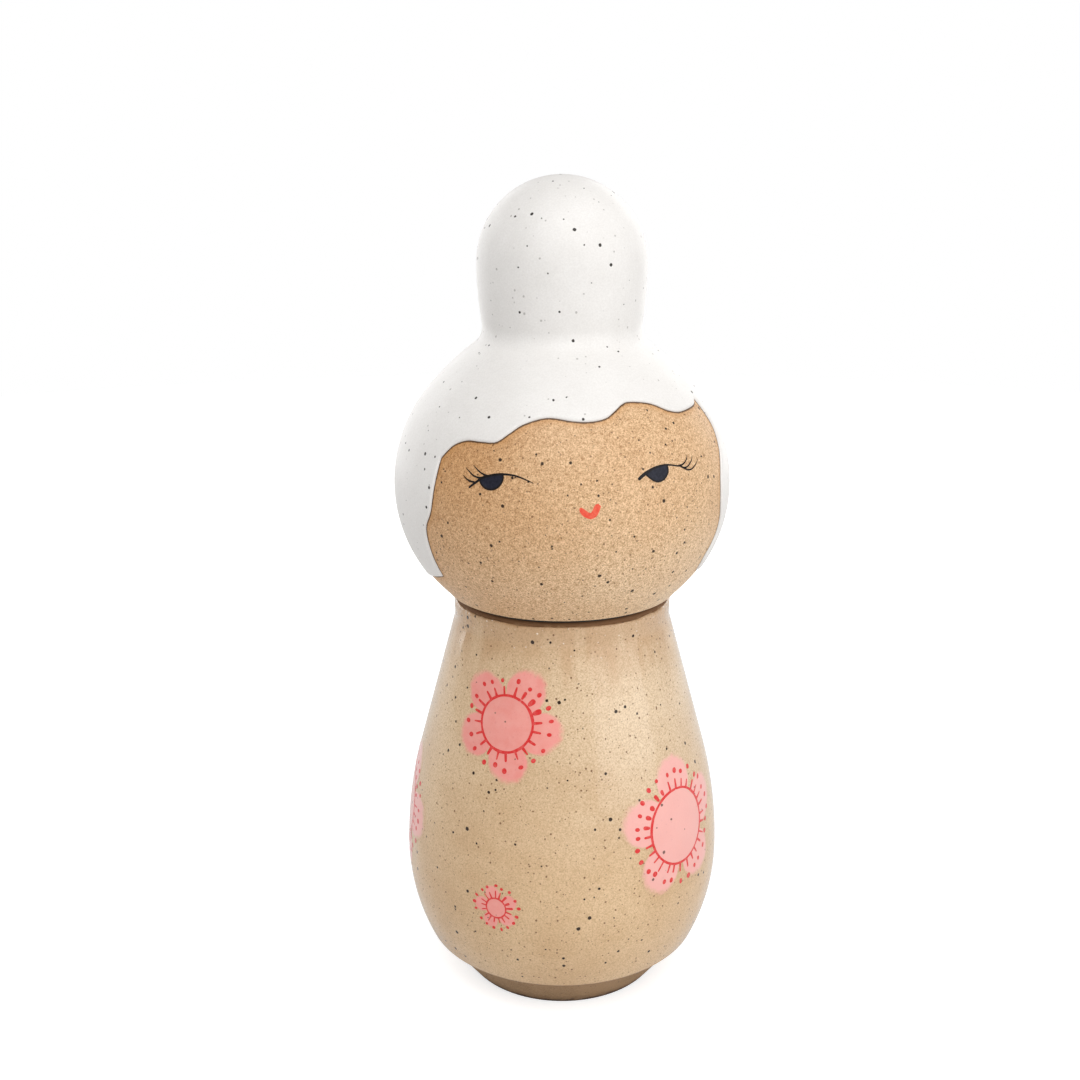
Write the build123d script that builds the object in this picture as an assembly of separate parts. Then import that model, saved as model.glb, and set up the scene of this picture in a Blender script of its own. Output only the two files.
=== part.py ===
from build123d import *
import math
import os

# A stoneware doll in two thrown halves: a jar for a body, and a head that lifts off as its lid.
# Millimetres. +Z is up, the origin is the middle of the foot, and the face looks along -Y.

# Driving dimensions: the jar
FOOT_RADIUS = 31.4
FOOT_TOP_RADIUS = 41.9
FOOT_HEIGHT = 13.7
FOOT_RING_WIDTH = 7.0
FOOT_HOLLOW = 3.0
BELLY_RADIUS = 49.8
BELLY_HEIGHT = 41.0
BELLY_LOW_ARC = 62.0
BELLY_HIGH_ARC = 131.0
SHOULDER_LEAN = 15.3
RIM_RADIUS = 33.3
RIM_HEIGHT = 126.2
RIM_ROUND = 1.2
MOUTH_RADIUS = 28.5
JAR_WALL = 5.5
JAR_FLOOR = 6.5
GLAZE = 0.5
LINER_GLAZE = 0.4
LINER_STOP = 4.0

# Driving dimensions: the head, as its white coat's outside
SEAT_HEIGHT = 127.2
WIDEST_HEIGHT = 160.4
CHEEK_CENTRE_RADIUS = 7.06
CHEEK_ARC = 43.5
TEMPLE_CENTRE_RADIUS = 6.16
TEMPLE_ARC = 44.4
TEMPLE_END = 40.0
CROWN_ARC = 80.0
CROWN_END = 60.0
BUN_RADIUS = 24.9
BUN_HEIGHT = 225.1
BUN_TAPER_ARC = 110.0
BUN_TAPER = 14.0
BUN_FILLET = 6.0
HEAD_WALL = 5.0
HAIR_COAT = 0.6
HAIR_HEM = 134.0

# Driving dimensions: the lid's fit
COLLAR_OUTER = 27.6
COLLAR_WALL = 3.2
COLLAR_DEPTH = 13.0
SEAL_OUTER = 33.0
SEAL_GAP = 0.15

# Driving dimensions: painted decoration
PAINT = 0.10
PAINT_GAP = 0.02
PAINT_REACH = 12.0
PETALS = 5

# The three flower motifs: ring radius, strokes, petal radius, petals' distance out, line width, stroke length
MOTIFS = {
    "small": (3.15, 17, 2.5, 4.9, 0.45, 2.2),
    "medium": (8.3, 20, 6.5, 11.6, 0.9, 2.7),
    "large": (11.5, 28, 7.6, 14.6, 0.9, 3.4),
}
# Flowers: turn about +Z from the front, height of the middle, motif, tilt of the petals
FLOWERS = [
    (-33.9, 96.2, "medium", 62.0),
    (37.5, 61.8, "large", 87.0),
    (-32.5, 41.9, "small", 30.0),
    (-98.0, 57.0, "large", 0.0),
    (112.0, 97.0, "medium", 20.0),
    (174.0, 60.0, "large", 50.0),
    (100.0, 37.0, "small", 12.0),
    (-142.0, 99.0, "medium", 66.0),
]

# The bare face's edge, as (across, height) seen from the front
LEFT_HAIRLINE = [(-38.5, 130), (-40.4, 144), (-43.2, 153.6)]
FRINGE = [
    (-43.2, 153.6), (-41.2, 164.5), (-38.6, 174.9), (-31.6, 180.4), (-24.5, 180.9),
    (-19.0, 184.6), (-10.6, 187.3), (-1.0, 186.3), (5.1, 187.0), (11.5, 190.4),
    (18.7, 189.6), (27.7, 186.4), (35.4, 188.0)]
RIGHT_HAIRLINE = [(35.4, 188.0), (40.3, 181.3), (42.4, 172), (42.3, 154), (37.5, 141.5), (36.0, 130)]

# The eyes and lips: turn, radius and height of each middle, and the lean of the clay there
LEFT_EYE = (-32.5, 48.6, 171.6, 12)
RIGHT_EYE = (24.0, 48.4, 172.6, 12)
LIPS = (-0.7, 49.8, 162.8, 0)
IRIS_RADIUS = 3.6
IRIS_DROP = 0.5
LID = [(-6.5, -1.5), (-2.0, 0.8), (4.0, 1.3), (12.5, -1.6)]
LID_STROKE = 0.7
LASH = [(-6.0, 4.4), (-4.5, 1.4), (-2.8, 0.4)]
LASHES = 3
LASH_STEP = 1.6
LASH_STROKE = 0.4
MOUTH = [(-2.7, 1.2), (0, -1.6), (2.9, 2.2)]
MOUTH_STROKE = 1.8

# Room left around a piece by the blocks that cut it
ROOM = 10.0


def arc_point(centre_r, centre_z, radius, angle):
    """The point of an arc at an angle above level, in degrees."""
    turn = math.radians(angle)
    return centre_r + radius * math.cos(turn), centre_z + radius * math.sin(turn)


def arc(centre_r, centre_z, radius, start, end):
    """An arc of a half outline, from one angle above level to another, in degrees."""
    middle = (start + end) / 2
    return ThreePointArc(*[arc_point(centre_r, centre_z, radius, a) for a in (start, middle, end)])


def half_face(*edges):
    """A face between a half outline and the Z axis, on the XZ plane."""
    first, last = edges[0] @ 0, edges[-1] @ 1
    closing = Polyline((last.X, last.Y), (0, last.Y), (0, first.Y), (first.X, first.Y))
    return make_face([*edges, *closing.edges()])


def turn_solid(face):
    """A face on the XZ plane, turned about the Z axis."""
    return revolve(Plane.XZ * face, Axis.Z, 360)


def box_face(r0, z0, r1, z1):
    """A rectangle of the half outline, between two radii and two heights."""
    return Pos((r0 + r1) / 2, (z0 + z1) / 2) * Rectangle(r1 - r0, z1 - z0)


def jar_face(inset):
    """The jar's outline with no hollow, a set depth under its glazed outside."""
    low = BELLY_LOW_ARC - inset
    high = BELLY_HIGH_ARC - inset
    low_centre = BELLY_RADIUS - BELLY_LOW_ARC
    high_centre = BELLY_RADIUS - BELLY_HIGH_ARC
    low_start = -math.degrees(math.asin((BELLY_HEIGHT - FOOT_HEIGHT) / low))
    lower = arc(low_centre, BELLY_HEIGHT, low, low_start, 0)
    upper = arc(high_centre, BELLY_HEIGHT, high, 0, SHOULDER_LEAN)
    cone_start = upper @ 1
    rim_radius = RIM_RADIUS - inset
    cone_rise = (cone_start.X - rim_radius) / math.tan(math.radians(SHOULDER_LEAN))
    cone = Line(cone_start, (rim_radius, cone_start.Y + cone_rise))
    rim = Line(cone @ 1, (rim_radius, RIM_HEIGHT))
    return half_face(lower, upper, cone, rim)


def jar_solids():
    """The clay wall, the glaze outside it and the glaze inside it."""
    clay = jar_face(GLAZE)
    foot = make_face(Polyline(
        (0, 0), (FOOT_RADIUS, 0), (FOOT_TOP_RADIUS, FOOT_HEIGHT), (0, FOOT_HEIGHT), (0, 0)))
    under = box_face(0, 0, FOOT_RADIUS - FOOT_RING_WIDTH, FOOT_HOLLOW)
    mouth = box_face(0, JAR_FLOOR, MOUTH_RADIUS, RIM_HEIGHT)
    floor_cut = box_face(0, JAR_FLOOR, BELLY_RADIUS, RIM_HEIGHT)
    taper = make_face(Polyline(
        (0, 0), (FOOT_RADIUS - JAR_WALL, 0), (FOOT_TOP_RADIUS - JAR_WALL + 1, FOOT_HEIGHT),
        (0, FOOT_HEIGHT), (0, 0)))
    inside = ((jar_face(GLAZE + JAR_WALL) + taper) & floor_cut) + mouth
    wall = turn_solid(clay + foot - under - inside)
    rim_edge = [e for e in wall.edges() if abs(e.center().Z - RIM_HEIGHT) < 0.01]
    outer_rim = max(rim_edge, key=lambda e: e.radius)
    inner_rim = min(rim_edge, key=lambda e: e.radius)
    wall = fillet([outer_rim, inner_rim], RIM_ROUND)
    foot_edge = [e for e in wall.edges() if abs(e.center().Z) < 0.01]
    wall = fillet(foot_edge, RIM_ROUND / 2)
    glaze_top = RIM_HEIGHT - RIM_ROUND
    outside = turn_solid((jar_face(0) - clay) & box_face(0, FOOT_HEIGHT, BELLY_RADIUS + ROOM, glaze_top))
    lining_face = inside - offset_inside(inside)
    lining = turn_solid(lining_face & box_face(0, 0, BELLY_RADIUS, RIM_HEIGHT - LINER_STOP))
    return wall, outside, lining


def offset_inside(face):
    """The jar's inside, shrunk by the thickness of its glaze."""
    smaller = offset(face, -LINER_GLAZE)
    return smaller + box_face(0, JAR_FLOOR + LINER_GLAZE, MOUTH_RADIUS / 2, RIM_HEIGHT)


def head_face(inset):
    """The head's outline with its bun, a set depth under the coat's outside."""
    cheek = CHEEK_ARC - inset
    seat = -math.degrees(math.asin((WIDEST_HEIGHT - SEAT_HEIGHT) / cheek))
    lower = arc(CHEEK_CENTRE_RADIUS, WIDEST_HEIGHT, cheek, seat, 0)
    temple = arc(TEMPLE_CENTRE_RADIUS, WIDEST_HEIGHT, TEMPLE_ARC - inset, 0, TEMPLE_END)
    crown_r, crown_z = arc_point(
        TEMPLE_CENTRE_RADIUS, WIDEST_HEIGHT, TEMPLE_ARC - CROWN_ARC, TEMPLE_END)
    crown = arc(crown_r, crown_z, CROWN_ARC - inset, TEMPLE_END, CROWN_END)
    skull = half_face(lower, temple, crown)
    taper_centre = BUN_RADIUS - BUN_TAPER_ARC
    taper = arc(taper_centre, BUN_HEIGHT, BUN_TAPER_ARC - inset, -BUN_TAPER, 0)
    dome = arc(0, BUN_HEIGHT, BUN_RADIUS - inset, 0, 90)
    bun = half_face(taper, dome)
    whole = skull + bun
    crease = whole.vertices().filter_by(lambda v: v.X > 12).sort_by(Axis.Y)[-2:]
    return fillet([crease_vertex(crease)], BUN_FILLET + inset)


def crease_vertex(corners):
    """The corner where the bun meets the crown: the lower of the two highest."""
    return min(corners, key=lambda v: v.Y)


def face_window():
    """The bare face as a block along -Y, cut out of the hair: its top edge is the fringe."""
    chin = Line(RIGHT_HAIRLINE[-1], LEFT_HAIRLINE[0])
    outline = make_face([Spline(*LEFT_HAIRLINE), Spline(*FRINGE), Spline(*RIGHT_HAIRLINE), chin])
    return extrude(Plane.XZ * outline, amount=BELLY_RADIUS + ROOM)


def head_solids():
    """The clay shell of the head, and the white coat over it."""
    clay = head_face(HAIR_COAT)
    shell = turn_solid(clay - head_face(HAIR_COAT + HEAD_WALL))
    above = box_face(0, HAIR_HEM, BELLY_RADIUS + ROOM, BUN_HEIGHT + BUN_RADIUS + ROOM)
    coat = turn_solid((head_face(0) - clay) & above)
    return shell, coat - face_window()


def collar_solid():
    """The ring under the head that drops into the jar's mouth."""
    return turn_solid(box_face(
        COLLAR_OUTER - COLLAR_WALL, SEAT_HEIGHT - COLLAR_DEPTH, COLLAR_OUTER, SEAT_HEIGHT))


def seal_solid():
    """The dark ring between the jar's rim and the head's seat."""
    return turn_solid(box_face(COLLAR_OUTER + SEAL_GAP, RIM_HEIGHT, SEAL_OUTER, SEAT_HEIGHT))


def paint_coat(outline, layer=1, under=0):
    """A thin coat off a surface, where outline(inset) is the face under it, in its first or second layer."""
    inner = under - (PAINT_GAP + PAINT) * layer + PAINT
    return turn_solid(outline(inner - PAINT) - outline(inner))


def petals_sketch(ring, petal, out, tilt):
    """A disc with round petals, in the flower's own plane."""
    shape = Circle(ring)
    for k in range(PETALS):
        turn = math.radians(tilt + 360 * k / PETALS)
        shape += Pos(out * math.cos(turn), out * math.sin(turn)) * Circle(petal)
    return shape


def stamens_sketch(ring, count, line, length):
    """A ring with short strokes around it."""
    shape = Circle(ring + line / 2) - Circle(ring - line / 2)
    for k in range(count):
        shape += Rot(0, 0, 360 * k / count) * Pos(ring + length / 2, 0) * Rectangle(length, line)
    return shape


def on_surface(sketch, turn, radius, height, lean):
    """A flat sketch stood off a point of the surface, as a block that runs in through it."""
    place = Rot(0, 0, turn) * Pos(0, -radius, height) * Rot(90 - lean, 0, 0)
    return extrude(place * sketch, amount=PAINT_REACH, both=True)


def jar_radius(height):
    """The glazed radius at a height, and how far the surface leans in, in degrees."""
    if height < BELLY_HEIGHT:
        drop = math.asin((height - BELLY_HEIGHT) / BELLY_LOW_ARC)
        return BELLY_RADIUS - BELLY_LOW_ARC * (1 - math.cos(drop)), math.degrees(drop)
    lean = math.radians(SHOULDER_LEAN)
    cone_start = BELLY_HEIGHT + BELLY_HIGH_ARC * math.sin(lean)
    rise = math.asin(min(math.sin(lean), (height - BELLY_HEIGHT) / BELLY_HIGH_ARC))
    radius = BELLY_RADIUS - BELLY_HIGH_ARC * (1 - math.cos(rise))
    return radius - max(0, height - cone_start) * math.tan(lean), math.degrees(rise)


def flower_solids(number, flower, petal_coat, line_coat):
    """One flower: its pink petals, and its red ring and strokes laid over them."""
    turn, height, motif, tilt = flower
    ring, count, petal, out, line, length = MOTIFS[motif]
    radius, lean = jar_radius(height)
    petals = on_surface(petals_sketch(ring, petal, out, tilt), turn, radius, height, lean)
    stamens = on_surface(stamens_sketch(ring, count, line, length), turn, radius, height, lean)
    return {
        f"flower_{number}_petals": petal_coat & petals,
        f"flower_{number}_stamens": line_coat & stamens,
    }


def eye_sketch(side):
    """A half-closed eye about its middle: the iris under a curved lid that runs out to the lashes."""
    top = IRIS_DROP + IRIS_RADIUS
    iris = Circle(IRIS_RADIUS) & (Pos(0, IRIS_DROP - top) * Rectangle(4 * IRIS_RADIUS, 2 * top))
    eye = iris + trace(Spline(*LID), LID_STROKE)
    for k in range(LASHES):
        lash = [(x + LASH_STEP * k, y) for x, y in LASH]
        eye += trace(Spline(*lash), LASH_STROKE)
    return eye if side < 0 else mirror(eye, Plane.YZ)


def face_solids():
    """The painted eyes and lips, laid on the bare clay."""
    coat = paint_coat(head_face, under=HAIR_COAT)
    left = on_surface(eye_sketch(-1), *LEFT_EYE)
    right = on_surface(eye_sketch(1), *RIGHT_EYE)
    lips = on_surface(trace(Polyline(*MOUTH), MOUTH_STROKE), *LIPS)
    return {"left_eye": coat & left, "right_eye": coat & right, "lips": coat & lips}


os.makedirs("parts", exist_ok=True)
jar_wall, jar_glaze, jar_lining = jar_solids()
head_wall, hair_glaze = head_solids()
pieces = {
    "jar_wall": jar_wall,
    "jar_glaze": jar_glaze,
    "jar_lining": jar_lining,
    "seal_ring": seal_solid(),
    "head_wall": head_wall,
    "head_collar": collar_solid(),
    "hair_glaze": hair_glaze,
}
pieces.update(face_solids())
petal_coat = paint_coat(jar_face)
line_coat = paint_coat(jar_face, layer=2)
for number, flower in enumerate(FLOWERS, 1):
    pieces.update(flower_solids(number, flower, petal_coat, line_coat))
for name, piece in pieces.items():
    export_step(piece, f"parts/{name}.step")
    print(name, len(piece.solids()), round(piece.volume, 1))
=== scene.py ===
"""A stoneware doll in two halves: a thrown jar for a body, and a head that lifts off as its lid.

The outlines are turned about Z from arcs, the hair is a coat with its own edge, and the decoration is
drawn flat, in millimetres, and wrapped on to the form that it is painted on."""

import math
import random

import bpy
from bpy.props import FloatProperty, FloatVectorProperty, IntProperty, PointerProperty
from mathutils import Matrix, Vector, noise


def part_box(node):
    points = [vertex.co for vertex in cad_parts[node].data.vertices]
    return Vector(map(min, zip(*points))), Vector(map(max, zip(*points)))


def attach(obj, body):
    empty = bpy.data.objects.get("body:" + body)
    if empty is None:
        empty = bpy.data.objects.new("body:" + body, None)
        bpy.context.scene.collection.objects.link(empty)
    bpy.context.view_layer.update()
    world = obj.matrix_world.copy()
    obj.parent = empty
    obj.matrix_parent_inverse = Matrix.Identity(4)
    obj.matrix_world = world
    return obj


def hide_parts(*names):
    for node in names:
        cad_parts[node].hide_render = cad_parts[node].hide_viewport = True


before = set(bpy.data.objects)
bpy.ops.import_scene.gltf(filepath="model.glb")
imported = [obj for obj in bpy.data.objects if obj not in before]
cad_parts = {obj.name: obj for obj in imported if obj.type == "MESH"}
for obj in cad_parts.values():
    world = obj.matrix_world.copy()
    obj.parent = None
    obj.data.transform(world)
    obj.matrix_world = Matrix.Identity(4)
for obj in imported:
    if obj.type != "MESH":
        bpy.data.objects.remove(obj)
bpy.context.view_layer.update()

bl_info = {
    "name": "Stoneware Doll Jar",
    "version": (1, 0, 0),
    "blender": (4, 5, 0),
    "location": "3D View > Sidebar > Doll",
    "description": "Throws, glazes and paints a two-part stoneware doll jar",
    "category": "Add Mesh",
}

MM = 0.001


def corners(node):
    """The lowest and highest corner of a part of the frame, in millimetres."""
    low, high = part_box(node)
    return low / MM, high / MM


# Heights and radii that the frame fixes, in millimetres
RIM_HEIGHT = corners("jar_wall")[1].z
BELLY_RADIUS = corners("jar_glaze")[1].x
GLAZE_LOW = corners("jar_glaze")[0].z
LINING_TOP = corners("jar_lining")[1].z
LINING_LOW = corners("jar_lining")[0].z
SEAT_HEIGHT = corners("head_wall")[0].z
HAIR_HEM = corners("hair_glaze")[0].z
HEAD_TOP = corners("hair_glaze")[1].z
SEAL_LOW, SEAL_HIGH = corners("seal_ring")
COLLAR_LOW, COLLAR_HIGH = corners("head_collar")

# The jar's form
BELLY_HEIGHT = 41.0
BELLY_LOW_ARC = 62.0
BELLY_HIGH_ARC = 131.0
SHOULDER_LEAN = 15.3
RIM_RADIUS = 33.3
RIM_BLEND = 9.0
RIM_ROUND = 1.2
FOOT_RADIUS = 31.4
FOOT_TOP_RADIUS = 41.9
FOOT_RING = 7.0
FOOT_HOLLOW = 3.0
FLOOR_CORNER = 31.4
FLOOR_ROUND = 3.0
BELLY_WALKED = 40.0
JAR_WALL = 5.5
MOUTH_RADIUS = 28.5

GLAZE_TOP = RIM_HEIGHT - RIM_ROUND - 0.5

# The head's form
WIDEST_HEIGHT = 160.4
CHEEK_CENTRE_RADIUS = 7.06
CHEEK_ARC = 43.5
TEMPLE_CENTRE_RADIUS = 6.16
TEMPLE_ARC = 44.4
TEMPLE_END = 40.0
CROWN_ARC = 80.0
BUN_RADIUS = 24.9
BUN_TAPER_ARC = 110.0
BUN_CREASE = 6.0
HEAD_WALL = 5.0
COLLAR_WALL = 3.2

# How finely the forms are divided
WHEEL_STEPS = 240
ROW_SPACING = 1.6
ROW_TURN = 5.0
SMOOTH_UP_TO = 35.0


# ---------------------------------------------------------------- outlines

def arc_run(centre_r, centre_z, radius, start, end):
    """An arc of an outline: its length, and its point at a share of it, stood off outwards."""
    turn = math.radians(end - start)
    side = math.copysign(1, turn)

    def at(share, out):
        angle = math.radians(start) + turn * share
        reach = radius + side * out
        return centre_r + reach * math.cos(angle), centre_z + reach * math.sin(angle)

    return abs(turn) * radius, at


def line_run(r0, z0, r1, z1):
    """A straight stretch of an outline, in the same form as an arc's."""
    length = math.hypot(r1 - r0, z1 - z0)
    side_r, side_z = (z1 - z0) / length, -(r1 - r0) / length

    def at(share, out):
        return r0 + (r1 - r0) * share + side_r * out, z0 + (z1 - z0) * share + side_z * out

    return length, at


def halve(low, high, is_below):
    """Where a test that holds at low stops holding on the way to high."""
    for halving in range(40):
        middle = (low + high) / 2
        if is_below(middle):
            low = middle
        else:
            high = middle
    return low


class Form:
    """The outside of a thrown form, walked by length from its lowest edge to its top."""

    def __init__(self, runs):
        self.runs = runs
        self.length = sum(length for length, at in runs)

    def at(self, walked, out=0.0):
        """Radius and height at a length walked, stood off outwards."""
        for length, at in self.runs:
            if walked <= length:
                return at(max(walked, 0.0) / length, out)
            walked -= length
        return self.runs[-1][1](1.0, out)

    def walked_to(self, height):
        """The length walked at a height."""
        return halve(0.0, self.length, lambda walked: self.at(walked)[1] < height)

    def stops(self, start, end):
        """Lengths from start to end, close enough for each arc."""
        found, base = [], 0.0
        for length, at in self.runs:
            low, high = max(start, base), min(end, base + length)
            if high > low:
                a, b, c = at(0.0, 0.0), at(0.5, 0.0), at(1.0, 0.0)
                turn = math.atan2(c[1] - b[1], c[0] - b[0]) - math.atan2(b[1] - a[1], b[0] - a[0])
                turned = abs(math.degrees(turn)) * 2 * (high - low) / length
                count = max(1, math.ceil(max((high - low) / ROW_SPACING, turned / ROW_TURN)))
                found += [low + (high - low) * k / count for k in range(count)]
            base += length
        return found + [end]


def jar_form():
    """The jar's glazed outside, from the glaze's lower edge to the rim."""
    low_start = -math.degrees(math.asin((BELLY_HEIGHT - GLAZE_LOW) / BELLY_LOW_ARC))
    lean = math.radians(SHOULDER_LEAN)
    shoulder_r = BELLY_RADIUS - BELLY_HIGH_ARC * (1 - math.cos(lean))
    shoulder_z = BELLY_HEIGHT + BELLY_HIGH_ARC * math.sin(lean)
    corner_z = shoulder_z + (shoulder_r - RIM_RADIUS) / math.tan(lean)
    cut = RIM_BLEND * math.tan(lean / 2)
    cone_r, cone_z = RIM_RADIUS + cut * math.sin(lean), corner_z - cut * math.cos(lean)
    return Form([
        arc_run(BELLY_RADIUS - BELLY_LOW_ARC, BELLY_HEIGHT, BELLY_LOW_ARC, low_start, 0),
        arc_run(BELLY_RADIUS - BELLY_HIGH_ARC, BELLY_HEIGHT, BELLY_HIGH_ARC, 0, SHOULDER_LEAN),
        line_run(shoulder_r, shoulder_z, cone_r, cone_z),
        arc_run(RIM_RADIUS + RIM_BLEND, corner_z + cut, RIM_BLEND, 180 + SHOULDER_LEAN, 180),
        line_run(RIM_RADIUS, corner_z + cut, RIM_RADIUS, RIM_HEIGHT),
    ])


def head_form():
    """The outside of the head's white coat, from the seat to the top of the bun."""
    seat = -math.degrees(math.asin((WIDEST_HEIGHT - SEAT_HEIGHT) / CHEEK_ARC))
    temple = math.radians(TEMPLE_END)
    crown_r = TEMPLE_CENTRE_RADIUS + (TEMPLE_ARC - CROWN_ARC) * math.cos(temple)
    crown_z = WIDEST_HEIGHT + (TEMPLE_ARC - CROWN_ARC) * math.sin(temple)
    bun_r, bun_z = BUN_RADIUS - BUN_TAPER_ARC, HEAD_TOP - BUN_RADIUS
    # The crease's arc touches the crown's arc and the bun's, from outside both
    to_crown, to_bun = CROWN_ARC + BUN_CREASE, BUN_TAPER_ARC + BUN_CREASE
    apart = math.hypot(bun_r - crown_r, bun_z - crown_z)
    along = (to_crown ** 2 - to_bun ** 2 + apart ** 2) / (2 * apart)
    aside = math.sqrt(to_crown ** 2 - along ** 2)
    step_r, step_z = (bun_r - crown_r) / apart, (bun_z - crown_z) / apart
    crease_r = crown_r + along * step_r + aside * step_z
    crease_z = crown_z + along * step_z - aside * step_r
    crown_end = math.degrees(math.atan2(crease_z - crown_z, crease_r - crown_r))
    bun_start = math.degrees(math.atan2(crease_z - bun_z, crease_r - bun_r))
    return Form([
        arc_run(CHEEK_CENTRE_RADIUS, WIDEST_HEIGHT, CHEEK_ARC, seat, 0),
        arc_run(TEMPLE_CENTRE_RADIUS, WIDEST_HEIGHT, TEMPLE_ARC, 0, TEMPLE_END),
        arc_run(crown_r, crown_z, CROWN_ARC, TEMPLE_END, crown_end),
        arc_run(crease_r, crease_z, BUN_CREASE, 180 + crown_end, 180 + bun_start),
        arc_run(bun_r, bun_z, BUN_TAPER_ARC, bun_start, 0),
        arc_run(0, bun_z, BUN_RADIUS, 0, 90),
    ])


JAR = jar_form()
HEAD = head_form()


def rounded(points, steps=5):
    """Corners as (radius from the axis, height, rounding), with each rounded one made an arc."""
    chain = []
    for k, (r, z, rounding) in enumerate(points):
        if not rounding or k in (0, len(points) - 1):
            chain.append((r, z))
            continue
        here = Vector((r, z))
        back = (Vector(points[k - 1][:2]) - here).normalized()
        ahead = (Vector(points[k + 1][:2]) - here).normalized()
        half = back.angle(ahead) / 2
        if half > math.radians(89):
            chain.append((r, z))
            continue
        cut = rounding / math.tan(half)
        middle = here + (back + ahead).normalized() * rounding / math.sin(half)
        first, last = here + back * cut - middle, here + ahead * cut - middle
        swing = first.angle(last)
        for j in range(steps + 1):
            share = j / steps
            turned = first * math.sin((1 - share) * swing) + last * math.sin(share * swing)
            chain.append(tuple(middle + turned / math.sin(swing)))
    return chain


def edge_lip(inside, width, thickness):
    """How far a coat stands off its clay, a way inside its rounded edge."""
    share = min(inside / width, 1.0)
    return thickness * math.sqrt(1 - (1 - share) ** 2)


# ---------------------------------------------------------------- mesh steps

def select_only(obj):
    """Nothing else is selected or active."""
    bpy.ops.object.select_all(action="DESELECT")
    obj.select_set(True)
    bpy.context.view_layer.objects.active = obj


def new_object(name):
    """Takes the primitive that was just added, and names it and its mesh."""
    obj = bpy.context.object
    obj.name = name
    obj.data.name = name
    return obj


def tidy_mesh(obj, gap):
    """Closes seams and poles, and points every face outwards."""
    select_only(obj)
    bpy.ops.object.mode_set(mode="EDIT")
    bpy.ops.mesh.select_all(action="SELECT")
    bpy.ops.mesh.remove_doubles(threshold=gap)
    bpy.ops.mesh.normals_make_consistent(inside=False)
    bpy.ops.object.mode_set(mode="OBJECT")


def throw(name, outline, closed):
    """A form thrown on the wheel: its outline is drawn point by point, then spun about Z."""
    bpy.ops.object.select_all(action="DESELECT")
    r, z = outline[0]
    bpy.ops.mesh.primitive_circle_add(vertices=3, radius=MM, location=(r * MM, 0, z * MM))
    obj = new_object(name)
    bpy.ops.object.transform_apply(location=True, rotation=True, scale=True)
    bpy.ops.object.mode_set(mode="EDIT")
    bpy.ops.mesh.select_all(action="SELECT")
    bpy.ops.mesh.merge(type="CENTER")
    path = outline + outline[:1] if closed else outline
    for (r0, z0), (r1, z1) in zip(path, path[1:]):
        bpy.ops.mesh.extrude_region_move(
            TRANSFORM_OT_translate={"value": ((r1 - r0) * MM, 0, (z1 - z0) * MM)})
    bpy.ops.mesh.select_all(action="SELECT")
    bpy.ops.mesh.spin(steps=WHEEL_STEPS, angle=math.tau, center=(0, 0, 0), axis=(0, 0, 1))
    bpy.ops.object.mode_set(mode="OBJECT")
    tidy_mesh(obj, 0.01 * MM)
    return obj


def flat_grid(name, columns, rows):
    """A flat grid whose vertices run from 0 to 1 across and up."""
    bpy.ops.object.select_all(action="DESELECT")
    bpy.ops.mesh.primitive_grid_add(
        x_subdivisions=columns, y_subdivisions=rows, size=1.0, location=(0.5, 0.5, 0))
    obj = new_object(name)
    bpy.ops.object.transform_apply(location=True, rotation=True, scale=True)
    return obj


def mark(obj, name, value_of):
    """Gives every corner of a mesh a pair of values, worked out from its vertex."""
    layer = obj.data.uv_layers.get(name) or obj.data.uv_layers.new(name=name)
    for loop in obj.data.loops:
        layer.data[loop.index].uv = value_of(obj.data.vertices[loop.vertex_index].co)


def move_vertices(obj, place):
    """Moves every vertex to the place that its own coordinates give."""
    for vertex in obj.data.vertices:
        vertex.co = place(*vertex.co)
    obj.data.update()


def thicken(obj, thickness):
    """Gives a flat drawing its thickness of paint, upwards."""
    select_only(obj)
    if sum(face.normal.z for face in obj.data.polygons) < 0:
        obj.data.flip_normals()
    solid = obj.modifiers.new("paint", "SOLIDIFY")
    solid.thickness = thickness
    solid.offset = 1.0
    bpy.ops.object.modifier_apply(modifier=solid.name)


def join(name, parts):
    """Joins drawings into one piece."""
    select_only(parts[0])
    for part in parts[1:]:
        part.select_set(True)
    bpy.ops.object.join()
    return new_object(name)


def copy_of(obj, name):
    """A copy with its own mesh."""
    select_only(obj)
    bpy.ops.object.duplicate(linked=False)
    return new_object(name)


def on_form(form, azimuth, height, depth=0.0):
    """Where a flat drawing's points lie on a form, from its middle's azimuth and height there."""
    start = form.walked_to(height)

    def place(x, y, out):
        r, z = form.at(start + y, out - depth)
        angle = math.radians(azimuth) + x / form.at(start + y)[0]
        return Vector((r * math.sin(angle), -r * math.cos(angle), z)) * MM

    return place


def finish_piece(obj, body, material=None, node=None):
    """Smooths a piece, gives it its finish, and puts it on its body in place of the plain part."""
    select_only(obj)
    bpy.ops.object.shade_smooth_by_angle(angle=math.radians(SMOOTH_UP_TO))
    if material:
        obj.data.materials.append(material)
    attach(obj, body)
    if node:
        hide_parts(node)


# ---------------------------------------------------------------- lines drawn by hand

def curve_at(points, share):
    """A smooth curve through points, at a share of its spans."""
    spans = len(points) - 1
    place = min(max(share, 0.0), 1.0) * spans
    k = min(int(place), spans - 1)
    t = place - k
    p1, p2 = Vector(points[k]), Vector(points[k + 1])
    p0 = Vector(points[k - 1]) if k else p1 * 2 - p2
    p3 = Vector(points[k + 2]) if k + 2 <= spans else p2 * 2 - p1
    return (p1 * 2 + (p2 - p0) * t + (p0 * 2 - p1 * 5 + p2 * 4 - p3) * t ** 2
            + (p1 * 3 - p0 - p2 * 3 + p3) * t ** 3) / 2


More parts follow.
